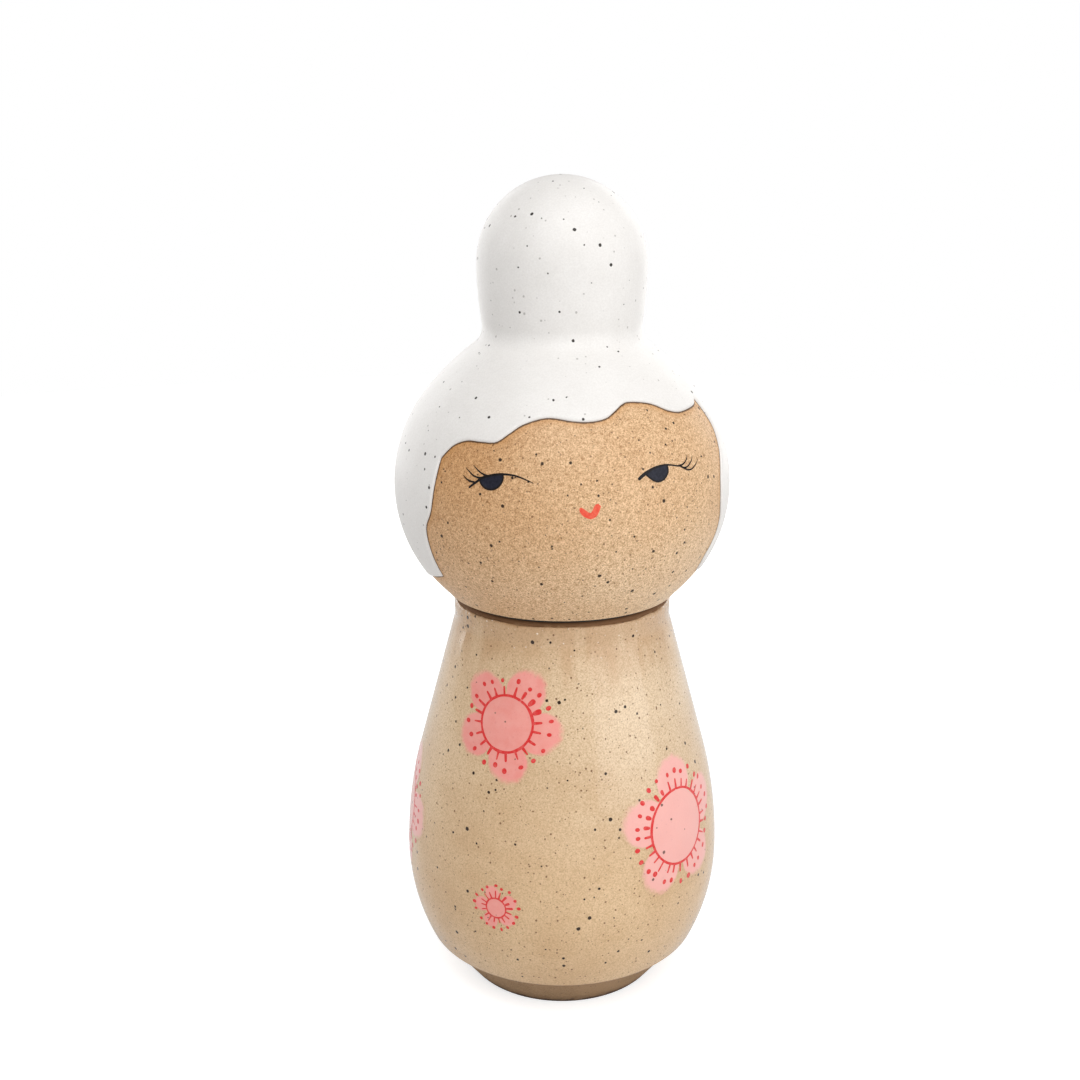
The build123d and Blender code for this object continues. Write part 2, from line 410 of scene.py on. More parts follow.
def even_curve(points, count, metric=lambda a, b: (b - a).length, fine=24):
    """Points evenly spaced along a smooth curve, its two ends among them."""
    steps = (len(points) - 1) * fine
    dense = [curve_at(points, k / steps) for k in range(steps + 1)]
    walked = [0.0]
    for a, b in zip(dense, dense[1:]):
        walked.append(walked[-1] + metric(a, b))
    found, j = [], 0
    for k in range(count + 1):
        goal = walked[-1] * k / count
        while j < steps - 1 and walked[j + 1] < goal:
            j += 1
        gap = walked[j + 1] - walked[j]
        found.append(dense[j].lerp(dense[j + 1], (goal - walked[j]) / gap if gap else 0.0))
    return found


def brush_line(points, widths, columns=24, rows=3, name="line"):
    """A brush line through points, as wide as it says at each, with round ends."""
    obj = flat_grid(name, columns, rows)
    path = even_curve(points, 80)
    length = sum((b - a).length for a, b in zip(path, path[1:]))

    def place(u, v, out):
        share = (1 - math.cos(math.pi * u)) / 2
        spot = share * 80
        k = min(int(spot), 79)
        here = path[k].lerp(path[k + 1], spot - k)
        along = (path[min(k + 2, 80)] - path[max(k - 1, 0)]).normalized()
        spans = len(widths) - 1
        w = min(int(share * spans), spans - 1)
        half = (widths[w] + (widths[w + 1] - widths[w]) * (share * spans - w)) / 2
        to_end = min(share, 1 - share) * length
        if to_end < half:
            half = math.sqrt(max(half ** 2 - (half - to_end) ** 2, 0))
        side = Vector((-along.y, along.x)) * half * (2 * v - 1)
        return here.x + side.x, here.y + side.y, out

    move_vertices(obj, place)
    tidy_mesh(obj, 0.002)
    return obj


def filled_shape(low, high, columns=32, rows=6, name="shape"):
    """A shape between its lower and its upper line, which run the same way."""
    obj = flat_grid(name, columns, rows)
    lows, highs = even_curve(low, columns), even_curve(high, columns)

    def place(u, v, out):
        k = round(u * columns)
        spot = lows[k].lerp(highs[k], v)
        return spot.x, spot.y, out

    move_vertices(obj, place)
    tidy_mesh(obj, 0.002)
    return obj


def polar_shape(reach, columns, rows, name="shape"):
    """A round shape, as far out as reach(angle) says, marked with the share of the way out."""
    obj = flat_grid(name, columns, rows)
    mark(obj, "reach", lambda co: (co.x, co.y))

    def place(u, v, out):
        angle = math.tau * u
        distance = reach(angle) * v
        return distance * math.cos(angle), distance * math.sin(angle), out

    move_vertices(obj, place)
    tidy_mesh(obj, 0.002)
    return obj


# ---------------------------------------------------------------- settings

def colour(name, description, value):
    """A colour that a user may change."""
    return FloatVectorProperty(name=name, description=description, subtype="COLOR", size=3,
                               min=0.0, max=1.0, default=value)


def small_size(name, description, millimetres):
    """A small size that a user may change."""
    return FloatProperty(name=name, description=description, subtype="DISTANCE", unit="LENGTH",
                         min=0.0, default=millimetres * MM, precision=5)


class DollCoats(bpy.types.PropertyGroup):
    """Thicknesses of the glazes and paints"""

    glaze: small_size("Jar glaze", "Thickness of the clear glaze on the jar", 0.5)
    lining: small_size("Lining", "Thickness of the glaze inside the jar", 0.4)
    hair: small_size("Hair glaze", "Thickness of the white coat on the head", 0.6)
    lip: small_size("Glaze lip", "Width of the rounded edge of a coat", 0.8)
    paint: small_size("Paint", "Thickness of a painted line", 0.05)
    scorch: small_size("Scorched line", "Width of the toasted clay along the hair", 3.0)


class DollColours(bpy.types.PropertyGroup):
    """Colours of the clay, glazes and paints"""

    buff: colour("Buff clay", "Stoneware seen through the clear glaze", (0.78, 0.56, 0.34))
    buff_dark: colour("Buff shade", "Darker patches of the glazed stoneware", (0.66, 0.44, 0.245))
    toast: colour("Toasted stoneware", "Glazed stoneware at its rim", (0.46, 0.21, 0.07))
    sand: colour("Sand grains", "Brown grains in the glazed stoneware", (0.40, 0.235, 0.105))
    face: colour("Face clay", "Bare clay of the face", (0.76, 0.51, 0.29))
    # Also laid on the face's upper left, where it is partly painted shade
    face_toast: colour("Toasted face", "Bare clay where the fire toasted it", (0.56, 0.265, 0.085))
    foot: colour("Foot clay", "Bare clay of the foot", (0.40, 0.25, 0.135))
    scorched: colour("Scorched clay", "Clay along the hair and the foot's edge", (0.055, 0.025, 0.012))
    # Dark partly as painted shade in the gap under the head
    rim: colour("Rim clay", "Bare clay of the rim, under the head", (0.17, 0.078, 0.03))
    iron: colour("Iron specks", "Dark specks in the clay", (0.02, 0.009, 0.004))
    rust: colour("Rust specks", "Small brown specks in the clay", (0.15, 0.065, 0.022))
    white: colour("White glaze", "The hair", (0.86, 0.838, 0.812))
    pink: colour("Pink", "Petals", (0.90, 0.325, 0.295))
    red: colour("Red", "Brush lines of the flowers", (0.70, 0.028, 0.028))
    coral: colour("Coral", "Lips", (0.80, 0.085, 0.05))
    ink: colour("Ink", "Lids and lashes", (0.006, 0.005, 0.006))
    iris: colour("Iris", "Irises", (0.011, 0.012, 0.022))
    # Near-black partly as painted shade in the gap under the head
    seal: colour("Seal", "Silicone ring under the head", (0.012, 0.011, 0.01))


class DollStage(bpy.types.PropertyGroup):
    """Floor, camera, and the brush's unevenness"""

    floor: colour("Floor", "Plain pale floor", (0.7, 0.7, 0.7))
    azimuth: FloatProperty(name="Camera azimuth", description="Turn of the camera from the front",
                           default=math.radians(-9.5), subtype="ANGLE", unit="ROTATION")
    pitch: FloatProperty(name="Camera pitch", description="How far the camera looks down",
                         default=math.radians(15.7), subtype="ANGLE", unit="ROTATION")
    distance: FloatProperty(name="Camera distance", description="From the doll's axis",
                            default=0.385, subtype="DISTANCE", unit="LENGTH")
    height: FloatProperty(name="Camera height", description="Above the floor",
                          default=0.2498, subtype="DISTANCE", unit="LENGTH")
    lens: FloatProperty(name="Lens", description="Focal length in millimetres", default=43.33)
    shift: FloatProperty(name="Lens shift", description="Sideways framing", default=-0.0204)
    seed: IntProperty(name="Brush seed", description="Unevenness of the brush lines", default=11)


# ---------------------------------------------------------------- finishes

# Depths of the bumps, in metres
FAINT_BUMP = 0.02 * MM
DUST_BUMP = 0.03 * MM
FACE_BUMP = 0.07 * MM
DIMPLE_BUMP = 0.08 * MM
SAND_BUMP = 0.16 * MM
GLAZE_BUMP = 0.45 * MM


def add(tree, kind, inputs=None, **settings):
    """A node, with its settings, and its inputs as values or as other nodes' outputs."""
    node = tree.nodes.new("ShaderNode" + kind)
    for name, value in settings.items():
        setattr(node, name, value)
    for key, value in (inputs or {}).items():
        if isinstance(value, bpy.types.NodeSocket):
            tree.links.new(value, node.inputs[key])
        else:
            node.inputs[key].default_value = value
    return node


def maths(tree, operation, *values):
    """One sum."""
    return add(tree, "Math", dict(enumerate(values)), operation=operation).outputs[0]


def times(tree, first, second):
    """One value times another."""
    return maths(tree, "MULTIPLY", first, second)


def plus(tree, first, second):
    """One value added to another."""
    return maths(tree, "ADD", first, second)


def axis_of(tree, vector, axis):
    """One coordinate of a vector."""
    return add(tree, "SeparateXYZ", {0: vector}).outputs[axis]


def blend(tree, share, first, second, mode="MIX"):
    """Two colours blended by a share."""
    tones = [c if isinstance(c, bpy.types.NodeSocket) else (*c[:3], 1.0) for c in (first, second)]
    node = add(tree, "Mix", {0: share, 6: tones[0], 7: tones[1]}, data_type="RGBA", blend_type=mode)
    return node.outputs[2]


def spread(tree, value, low, high, start=0.0, end=1.0, smooth=False):
    """A value stretched from one range to another, and held at its ends."""
    kind = "SMOOTHSTEP" if smooth else "LINEAR"
    inputs = {"Value": value, "From Min": low, "From Max": high, "To Min": start, "To Max": end}
    return add(tree, "MapRange", inputs, interpolation_type=kind, clamp=True).outputs[0]


def place_in_mm(tree, stretch=(1.0, 1.0, 1.0)):
    """The piece's own coordinates, in millimetres."""
    own = add(tree, "TexCoord").outputs["Object"]
    scale = tuple(s / MM for s in stretch)
    return add(tree, "Mapping", {"Vector": own, "Scale": scale}).outputs["Vector"]


def clouds(tree, place, size, detail=2.0, roughness=0.5):
    """Soft noise whose patches are about a size across."""
    inputs = {"Vector": place, "Scale": 1 / size, "Detail": detail, "Roughness": roughness}
    return add(tree, "TexNoise", inputs).outputs[0]


def specks(tree, place, apart, largest, share, softness=0.12):
    """Round specks, one in some cells of a random lattice, each of its own size: 1 inside, 0 outside."""
    lattice = add(tree, "TexVoronoi", {"Vector": place, "Scale": 1 / apart}, feature="F1")
    draw = add(tree, "SeparateColor", {0: lattice.outputs["Color"]})
    size = spread(tree, maths(tree, "POWER", draw.outputs[0], 1.4), 0.0, 1.0, largest * 0.35, largest)
    kept = maths(tree, "LESS_THAN", draw.outputs[1], share)
    distance = times(tree, lattice.outputs["Distance"], apart)
    inside = maths(tree, "SUBTRACT", times(tree, size, kept), distance)
    return spread(tree, inside, -softness, softness, 0.0, 1.0)


def speckled(tree, place, body, kinds):
    """A colour under several kinds of specks, and the last kind by itself. Each kind says how far
    apart its specks are, the largest, the share kept, their softness, strength and colour."""
    for apart, largest, share, softness, strength, tone in kinds:
        spots = specks(tree, place, apart, largest, share, softness)
        body = blend(tree, times(tree, spots, strength), body, tone)
    return body, spots


def uneven_place(tree, place, size, push):
    """Coordinates pushed about a little, so that specks aren't round."""
    shake = add(tree, "TexNoise", {"Vector": place, "Scale": 1 / size, "Detail": 1.0}).outputs["Color"]
    centred = add(tree, "VectorMath", {0: shake, 1: (0.5, 0.5, 0.5)}, operation="SUBTRACT").outputs[0]
    push_by = add(tree, "VectorMath", {0: centred, "Scale": push}, operation="SCALE").outputs[0]
    return add(tree, "VectorMath", {0: place, 1: push_by}, operation="ADD").outputs[0]


def new_material(name):
    """An empty material, its node tree and its shader."""
    material = bpy.data.materials.new(name)
    material.use_nodes = True
    tree = material.node_tree
    return material, tree, tree.nodes["Principled BSDF"]


def set_shader(tree, shader, base, **numbers):
    """Links the colour, and sets the rest on the shader's own sockets."""
    tree.links.new(base, shader.inputs["Base Color"])
    for name, value in numbers.items():
        socket = name.replace("_", " ").title().replace("Ior", "IOR")
        shader.inputs[socket].default_value = value


def set_bump(tree, shader, height, depth, normal="Normal"):
    """A bump for the shader, or for its clear coat."""
    bump = add(tree, "Bump", {"Height": height, "Distance": depth, "Strength": 1.0})
    tree.links.new(bump.outputs[0], shader.inputs[normal])


# Pale specks under the rim: painted glints, standing for light caught on small glaze lumps
PAINTED_GLINT_COLOUR = (0.95, 0.86, 0.74)
THROWING_RINGS = 0.12


def glazed_clay(tree, place, tones):
    """Speckled stoneware under clear glaze: its colour, with a painted sheen at its right and painted glints
    under its rim, and its bold specks.
    """
    patches = clouds(tree, place, 30.0, 3.0, 0.55)
    rings = clouds(tree, place_in_mm(tree, (0.04, 0.04, 0.25)), 1.0, 1.0)
    grain = clouds(tree, place, 0.5, 2.0, 0.7)
    tone = plus(tree, times(tree, patches, 1 - THROWING_RINGS), times(tree, rings, THROWING_RINGS))
    body = blend(tree, spread(tree, tone, 0.34, 0.64), tones.buff_dark, tones.buff)
    height = axis_of(tree, place, "Z")
    # Paler at the right, from 48 to 88 mm up: partly paler glazed clay, partly a painted sheen.
    paler_right_and_sheen = times(tree, spread(tree, height, 48.0, 88.0, 0.0, 1.0, True),
                  spread(tree, axis_of(tree, place, "X"), -30.0, 22.0, 0.4, 1.0, True))
    body = blend(tree, paler_right_and_sheen, body, (1.1, 1.22, 1.42), "MULTIPLY")
    dripping = clouds(tree, place_in_mm(tree, (1.0, 1.0, 0.12)), 5.0, 2.0)
    upper = plus(tree, height, spread(tree, dripping, 0.3, 0.7, -7.0, 7.0))
    rim = spread(tree, upper, RIM_HEIGHT - 22, RIM_HEIGHT - 1, 0.0, 0.4, True)
    toasted = blend(tree, rim, body, tones.toast)
    lowest = spread(tree, height, GLAZE_LOW, GLAZE_LOW + 1.2, 0.55, 0.0, True)
    toasted = blend(tree, lowest, toasted, tones.toast)
    sandy = blend(tree, spread(tree, grain, 0.38, 0.68, 0.0, 0.55), toasted, tones.sand)
    # Where the pale specks lie as painted glints, just under the rim
    painted_glint_band = spread(tree, height, RIM_HEIGHT - 17, RIM_HEIGHT - 4, 0.0, 0.85, True)
    return speckled(tree, uneven_place(tree, place, 0.7, 0.3), sandy, [
        (0.95, 0.2, 0.7, 0.05, 0.55, tones.rust),
        (1.55, 0.33, 0.75, 0.05, 0.85, tones.rust),
        (1.5, 0.3, 0.5, 0.06, painted_glint_band, PAINTED_GLINT_COLOUR),
        (3.4, 0.62, 0.6, 0.05, 0.98, tones.iron),
    ])


def glaze_swell(tree, place):
    """The slow unevenness of a thick glossy glaze, and the lumps that it gathers in under the rim."""
    slow = clouds(tree, place, 16.0, 1.0)
    pitted = clouds(tree, place, 2.2, 1.0)
    height = axis_of(tree, place, "Z")
    gathered = spread(tree, height, RIM_HEIGHT - 9, RIM_HEIGHT - 4, 0.0, 0.42, True)
    lumps = times(tree, clouds(tree, place, 1.0, 0.0), gathered)
    swell = plus(tree, slow, times(tree, pitted, 0.06))
    return plus(tree, swell, lumps)


def under_gloss(tree, shader, place, colour_socket, texture):
    """A colour with a little texture, under the jar's thick glossy glaze."""
    set_shader(tree, shader, colour_socket, roughness=0.5, specular_ior_level=0.05, coat_weight=1.0,
               coat_roughness=0.07, coat_ior=1.43)
    set_bump(tree, shader, texture, FAINT_BUMP)
    set_bump(tree, shader, glaze_swell(tree, place), GLAZE_BUMP, "Coat Normal")


def jar_glaze_finish(tones):
    """Glossy clear glaze over speckled buff stoneware."""
    material, tree, shader = new_material("glazed_stoneware")
    place = place_in_mm(tree)
    clay = glazed_clay(tree, place, tones)[0]
    under_gloss(tree, shader, place, clay, clouds(tree, place, 0.8))
    return material


def foot_finish(tones):
    """Bare sandy clay of foot and rim, toasted, scorched at its lowest edge, and darkened at its highest
    edge, partly as painted shade under the head.
    """
    material, tree, shader = new_material("bare_stoneware")
    place = place_in_mm(tree)
    height = axis_of(tree, place, "Z")
    ragged = plus(tree, height, spread(tree, clouds(tree, place, 3.0, 3.0), 0.3, 0.7, -0.7, 0.7))
    grain = clouds(tree, place, 0.5, 2.0, 0.7)
    sand = blend(tree, spread(tree, grain, 0.3, 0.7), (0.22, 0.125, 0.055), (0.42, 0.27, 0.15))
    patchy = spread(tree, clouds(tree, place, 12.0, 2.0), 0.35, 0.65, 0.0, 0.7)
    body = blend(tree, patchy, sand, tones.foot)
    flecked = speckled(tree, uneven_place(tree, place, 0.7, 0.3), body, [
        (1.5, 0.3, 0.8, 0.07, 0.75, (0.07, 0.035, 0.018)),
        (4.5, 0.55, 0.6, 0.08, 1.0, tones.iron),
    ])[0]
    lower = spread(tree, ragged, 0.9, 5.0, 0.45, 0.0, True)
    edge = spread(tree, ragged, 0.9, 1.7, 0.92, 0.0)
    # Under the head the rim darkens to the rim colour: partly bare toasted clay, partly painted shade in the
    # gap under the head.
    rim = spread(tree, ragged, RIM_HEIGHT - 2.6, RIM_HEIGHT - 1.4, 0.0, 0.94)
    out = add(tree, "VectorMath", {0: place, 1: (1.0, 1.0, 0.0)}, operation="MULTIPLY").outputs[0]
    radius = add(tree, "VectorMath", {0: out}, operation="LENGTH").outputs["Value"]
    outer_rim_toast_and_shade = spread(tree, radius, RIM_RADIUS - 3.0, RIM_RADIUS - 1.2, 0.3, 1.0, True)
    outer_edge = spread(tree, radius, FOOT_RADIUS - 2.4, FOOT_RADIUS - 0.5, 0.2, 1.0, True)
    burnt = blend(tree, lower, flecked, (0.14, 0.07, 0.028))
    burnt = blend(tree, times(tree, rim, outer_rim_toast_and_shade), burnt, tones.rim)
    burnt = blend(tree, times(tree, edge, outer_edge), burnt, tones.scorched)
    set_shader(tree, shader, burnt, roughness=0.72, specular_ior_level=0.3)
    set_bump(tree, shader, grain, SAND_BUMP)
    return material


def face_clay(tree, place, tones):
    """Sandy bare clay of the face: its colour, with painted shade at its upper left and a painted sheen at
    its lower right, and its grain.
    """
    grain = clouds(tree, place, 0.42, 2.0, 0.75)
    coarse = clouds(tree, place, 1.1, 2.0, 0.6)
    patches = clouds(tree, place, 26.0, 3.0, 0.5)
    side = add(tree, "SeparateXYZ", {0: place})
    # Darker and more orange at the upper left: partly toasted clay, partly painted shade on the side away
    # from the light.
    leftward = spread(tree, side.outputs["X"], -44.0, 6.0, 1.0, 0.0, True)
    upward = spread(tree, side.outputs["Z"], 138.0, 186.0, 0.3, 1.0, True)
    left_toast_and_shade = times(tree, times(tree, leftward, upward), 0.72)
    toast = plus(tree, left_toast_and_shade, spread(tree, patches, 0.35, 0.7, 0.0, 0.2))
    body = blend(tree, toast, tones.face, tones.face_toast)
    # Paler at the lower right: partly paler clay, partly a painted sheen.
    paler_right_and_sheen = times(tree, spread(tree, side.outputs["Z"], 134.0, 162.0, 1.0, 0.0, True),
                  spread(tree, side.outputs["X"], -20.0, 32.0, 0.25, 1.0, True))
    body = blend(tree, paler_right_and_sheen, body, (1.12, 1.25, 1.42), "MULTIPLY")
    dark = blend(tree, 1.0, body, (0.58, 0.48, 0.38), "MULTIPLY")
    light = blend(tree, 1.0, body, (1.25, 1.34, 1.48), "MULTIPLY")
    mixed = plus(tree, times(tree, grain, 0.75), times(tree, coarse, 0.25))
    sandy = blend(tree, spread(tree, mixed, 0.36, 0.64), dark, light)
    flecked = speckled(tree, uneven_place(tree, place, 0.7, 0.3), sandy, [
        (1.2, 0.24, 0.7, 0.06, 0.6, tones.rust),
        (1.6, 0.34, 0.8, 0.06, 0.7, tones.rust),
        (2.6, 0.54, 0.6, 0.05, 0.96, tones.iron),
    ])[0]
    return flecked, grain


def thin_wash(tree, shader, colour_socket, grain):
    """Bare clay of the face, satin from its thin wash."""
    set_shader(tree, shader, colour_socket, roughness=0.5, specular_ior_level=0.2, coat_weight=0.1,
               coat_roughness=0.3)
    set_bump(tree, shader, grain, FACE_BUMP)


def face_finish(tones):
    """The sandy clay of the face."""
    material, tree, shader = new_material("face_stoneware")
    place = place_in_mm(tree)
    clay, grain = face_clay(tree, place, tones)
    thin_wash(tree, shader, clay, grain)
    return material


def scorch_finish(tones):
    """The face's clay, scorched along the hair: darkest at its edge, plain where the strip ends."""
    material, tree, shader = new_material("scorched_stoneware")
    place = place_in_mm(tree)
    clay, grain = face_clay(tree, place, tones)
    away = axis_of(tree, add(tree, "UVMap", uv_map="reach").outputs[0], "Y")
    fraying = clouds(tree, place, 0.9, 3.0, 0.7)
    ragged = plus(tree, away, spread(tree, fraying, 0.3, 0.7, -0.05, 0.05))
    line = spread(tree, ragged, 0.09, 0.2, 0.9, 0.0)
    halo = spread(tree, ragged, 0.1, 0.85, 0.45, 0.0, True)
    warm = blend(tree, halo, clay, tones.face_toast)
    burnt = blend(tree, line, warm, tones.scorched)
    thin_wash(tree, shader, burnt, grain)
    return material


def hair_finish(tones):
    """Satin white glaze with sparse iron specks."""
    material, tree, shader = new_material("white_hair_glaze")
    place = place_in_mm(tree)
    cloudy = clouds(tree, place, 9.0, 4.0, 0.6)
    fine = clouds(tree, place, 0.5, 2.0, 0.6)
    body = blend(tree, spread(tree, cloudy, 0.35, 0.65, 0.0, 0.5), tones.white, (0.80, 0.775, 0.745))
    soft = blend(tree, spread(tree, fine, 0.3, 0.7, 0.0, 0.26), body, (0.62, 0.59, 0.56))
    marked, bold = speckled(tree, uneven_place(tree, place, 0.8, 0.3), soft, [
        (2.3, 0.36, 0.5, 0.09, 0.5, (0.2, 0.17, 0.15)),
        (3.5, 0.56, 0.6, 0.06, 0.97, (0.02, 0.014, 0.012)),
    ])
    set_shader(tree, shader, marked, roughness=0.5, specular_ior_level=0.22, coat_weight=0.2,
               coat_roughness=0.25)
    dimples = plus(tree, clouds(tree, place, 3.5, 2.0), times(tree, bold, -0.25))
    set_bump(tree, shader, dimples, DIMPLE_BUMP)
    return material


def seal_finish(tones):
    """Matt dark silicone, a little dusty; its near-black partly stands for painted shade in the gap under
    the head.
    """
    material, tree, shader = new_material("seal_silicone")
    place = place_in_mm(tree)
    dust = clouds(tree, place, 2.0, 4.0, 0.7)
    body = blend(tree, spread(tree, dust, 0.5, 0.8, 0.0, 0.4), tones.seal, (0.05, 0.045, 0.04))
    set_shader(tree, shader, body, roughness=0.6, specular_ior_level=0.4)
    set_bump(tree, shader, dust, DUST_BUMP)
    return material


def petal_finish(name, tones, paleness):
    """Translucent pink under the gloss: the clay's specks show, and the edge is feathered."""
    material, tree, shader = new_material(name)
    place = place_in_mm(tree)
    clay, bold = glazed_clay(tree, place, tones)
    outwards = axis_of(tree, add(tree, "UVMap", uv_map="reach").outputs[0], "Y")
    brushed = clouds(tree, place, 2.6, 3.0, 0.6)
    pooled = clouds(tree, place, 11.0, 1.0)
    deep = blend(tree, spread(tree, pooled, 0.4, 0.62, 0.0, 0.4), tones.pink, (0.82, 0.22, 0.20))
    base = blend(tree, paleness, deep, (0.94, 0.60, 0.57))
    patchy = blend(tree, spread(tree, brushed, 0.35, 0.7, 0.0, 0.35), base, (0.93, 0.44, 0.40))
    cover = spread(tree, plus(tree, outwards, spread(tree, brushed, 0.3, 0.7, -0.03, 0.03)),
                   0.88, 1.0, 0.9, 0.05, True)
    cover = times(tree, cover, spread(tree, bold, 0.0, 1.0, 1.0, 0.2))
    washed = blend(tree, cover, clay, patchy)
    under_gloss(tree, shader, place, washed, clouds(tree, place, 0.8))
    return material


def red_finish(tones):
    """Red brush lines under the gloss, thinner in places."""
    material, tree, shader = new_material("brush_red")
    place = place_in_mm(tree)
    worn = clouds(tree, place, 1.1, 2.0, 0.6)
    body = blend(tree, spread(tree, worn, 0.45, 0.75, 0.0, 0.55), tones.red, (0.82, 0.17, 0.15))
    under_gloss(tree, shader, place, body, worn)
    return material


def satin_paint(name, base, second, share, size=0.8, roughness=0.4):
    """A satin ceramic paint with a little brushy unevenness."""
    material, tree, shader = new_material(name)
    place = place_in_mm(tree)
    uneven = clouds(tree, place, size, 2.0, 0.6)
    body = blend(tree, spread(tree, uneven, 0.4, 0.7, 0.0, share), base, second)
    set_shader(tree, shader, body, roughness=roughness, specular_ior_level=0.2)
    set_bump(tree, shader, uneven, FAINT_BUMP)
    return material


# ---------------------------------------------------------------- the jar

def inside_wall(depth):
    """The jar's inside from mouth to floor, at a depth under the glazed outside, as an outline."""

    def below_mouth(walked):
        return walked <= BELLY_WALKED or JAR.at(walked, -depth)[0] > MOUTH_RADIUS

    mouth = halve(0.0, JAR.length, below_mouth)
    return [JAR.at(walked, -depth) for walked in reversed(JAR.stops(0.0, mouth))]


def floor_of(wall, height):
    """The jar's inside floor at a height, from the foot of its inside wall to the middle."""
    return rounded([(*wall[-1], 0), (FLOOR_CORNER, height, FLOOR_ROUND), (0, height, 0)])[1:]


def jar_outline(glaze):
    """The clay of the jar, from the middle of its foot, up the outside, and down the inside."""
    under = rounded([
        (0, FOOT_HOLLOW, 0),
        (FOOT_RADIUS - FOOT_RING, FOOT_HOLLOW, 1.2),
        (FOOT_RADIUS - FOOT_RING, 0, 0.8),
        (FOOT_RADIUS, 0, 0.7),
        (FOOT_TOP_RADIUS, GLAZE_LOW, 0.35),
        (*JAR.at(0, -glaze), 0),
    ])
    shoulder = JAR.walked_to(RIM_HEIGHT - RIM_ROUND)
    outside = [JAR.at(walked, -glaze) for walked in JAR.stops(0.0, shoulder)]
    rim = rounded([
        (RIM_RADIUS - glaze, RIM_HEIGHT - RIM_ROUND - 1, 0),
        (RIM_RADIUS - glaze, RIM_HEIGHT, RIM_ROUND),
        (MOUTH_RADIUS, RIM_HEIGHT, RIM_ROUND),
        (MOUTH_RADIUS, RIM_HEIGHT - RIM_ROUND - 2, 0),
    ])[1:]
    inside = inside_wall(glaze + JAR_WALL)
    return under + outside[1:-1] + rim + inside + floor_of(inside, LINING_LOW)


def glaze_outline(thickness, lip):
    """The clear glaze outside the jar, with a rounded edge above the foot and another below the rim."""
    top = JAR.walked_to(GLAZE_TOP)
    fine = [0.0, 0.04, 0.12, 0.25, 0.45, 0.7, 1.0]
    near = [top - 6.0 + 0.45 * k for k in range(11)]
    stops = [lip * f for f in fine] + JAR.stops(lip + 0.6, top - 6.5) + near
    stops += [top - lip * f for f in reversed(fine)]
    outer = [JAR.at(s, edge_lip(min(s, top - s), lip, thickness) - thickness) for s in stops]
    inner = [JAR.at(s, -thickness) for s in reversed(JAR.stops(0.0, top))]
    return outer + inner[1:-1]


def lining_outline(depth, lining):
    """The glaze inside the jar: over its floor and up to the mouth, and back down against the clay."""
    clay_side, open_side = inside_wall(depth), inside_wall(depth + lining)
    clay_side += floor_of(clay_side, LINING_LOW)
    open_side += floor_of(open_side, LINING_LOW + lining)
    top = rounded([
        (MOUTH_RADIUS - lining, LINING_TOP - 2, 0),
        (MOUTH_RADIUS - lining, LINING_TOP, 0.18),
        (MOUTH_RADIUS, LINING_TOP, 0.18),
        (MOUTH_RADIUS, LINING_TOP - 2, 0),
    ])
    return open_side[::-1] + top + clay_side


def ripple_edge(obj, height, reach, rise, lump):
    """Lets a glaze's upper edge wander up and down, and gather in small lumps."""
    for vertex in obj.data.vertices:
        x, y, z = vertex.co
        share = max(0.0, 1 - abs(z / MM - height) / reach)
        angle = math.atan2(y, x)
        drift = noise.noise(Vector((math.cos(angle) * 5, math.sin(angle) * 5, 3.1)))
        drift += 0.5 * noise.noise(Vector((math.cos(angle) * 17, math.sin(angle) * 17, 8.7)))
        gathered = max(0.0, noise.noise(vertex.co / MM * 0.55)) * min(share * 2, 1.0)
        outwards = Vector((math.cos(angle), math.sin(angle), 0.0))
        vertex.co += (Vector((0, 0, drift * share * rise)) + outwards * gathered * lump) * MM
    obj.data.update()


class DOLL_OT_throw_jar(bpy.types.Operator):
    """Throws the jar, glazes it outside and lines it inside"""

    bl_idname = "doll.throw_jar"
    bl_label = "Throw the jar"

    def execute(self, context):
        coats, tones = context.scene.doll_coats, context.scene.doll_colours
        glaze, lining, lip = coats.glaze / MM, coats.lining / MM, coats.lip / MM
        wall = throw("jar_clay", jar_outline(glaze), closed=False)
        finish_piece(wall, "jar", foot_finish(tones), "jar_wall")

        shine = jar_glaze_finish(tones)
        coat = throw("jar_clear_glaze", glaze_outline(glaze, lip), closed=True)
        ripple_edge(coat, GLAZE_TOP, 3.0, 0.45, 0.4)
        finish_piece(coat, "jar", shine, "jar_glaze")

        inner = throw("jar_inner_glaze", lining_outline(glaze + JAR_WALL, lining), closed=False)
        finish_piece(inner, "jar", shine, "jar_lining")
        return {"FINISHED"}


SEAL_WIDTH = 5.25
SEAL_RIBS = 5


class DOLL_OT_fit_seal(bpy.types.Operator):
    """Makes the ribbed silicone ring between the jar's rim and the head"""

    bl_idname = "doll.fit_seal"
    bl_label = "Fit the seal"

    def execute(self, context):
        inner, outer = SEAL_HIGH.x - SEAL_WIDTH, SEAL_HIGH.x
        low, high = SEAL_LOW.z, SEAL_HIGH.z
        rib = SEAL_WIDTH / SEAL_RIBS
        top = []
        for k in range(SEAL_RIBS):
            top += [(outer - rib * (k + 0.25), high, 0.12), (outer - rib * (k + 0.75), high, 0.12),
                    (outer - rib * (k + 0.88), high - 0.22, 0.05)]
        chain = [(inner, (low + high) / 2, 0), (inner, low, 0.25), (outer, low, 0.25), (outer, high, 0.25)]
        chain += top[1:-1] + [(inner, high, 0.2), (inner, (low + high) / 2, 0)]
        ring = throw("seal", rounded(chain, 3)[:-1], closed=True)
        finish_piece(ring, "seal", seal_finish(context.scene.doll_colours), "seal_ring")
        return {"FINISHED"}


# ---------------------------------------------------------------- the head

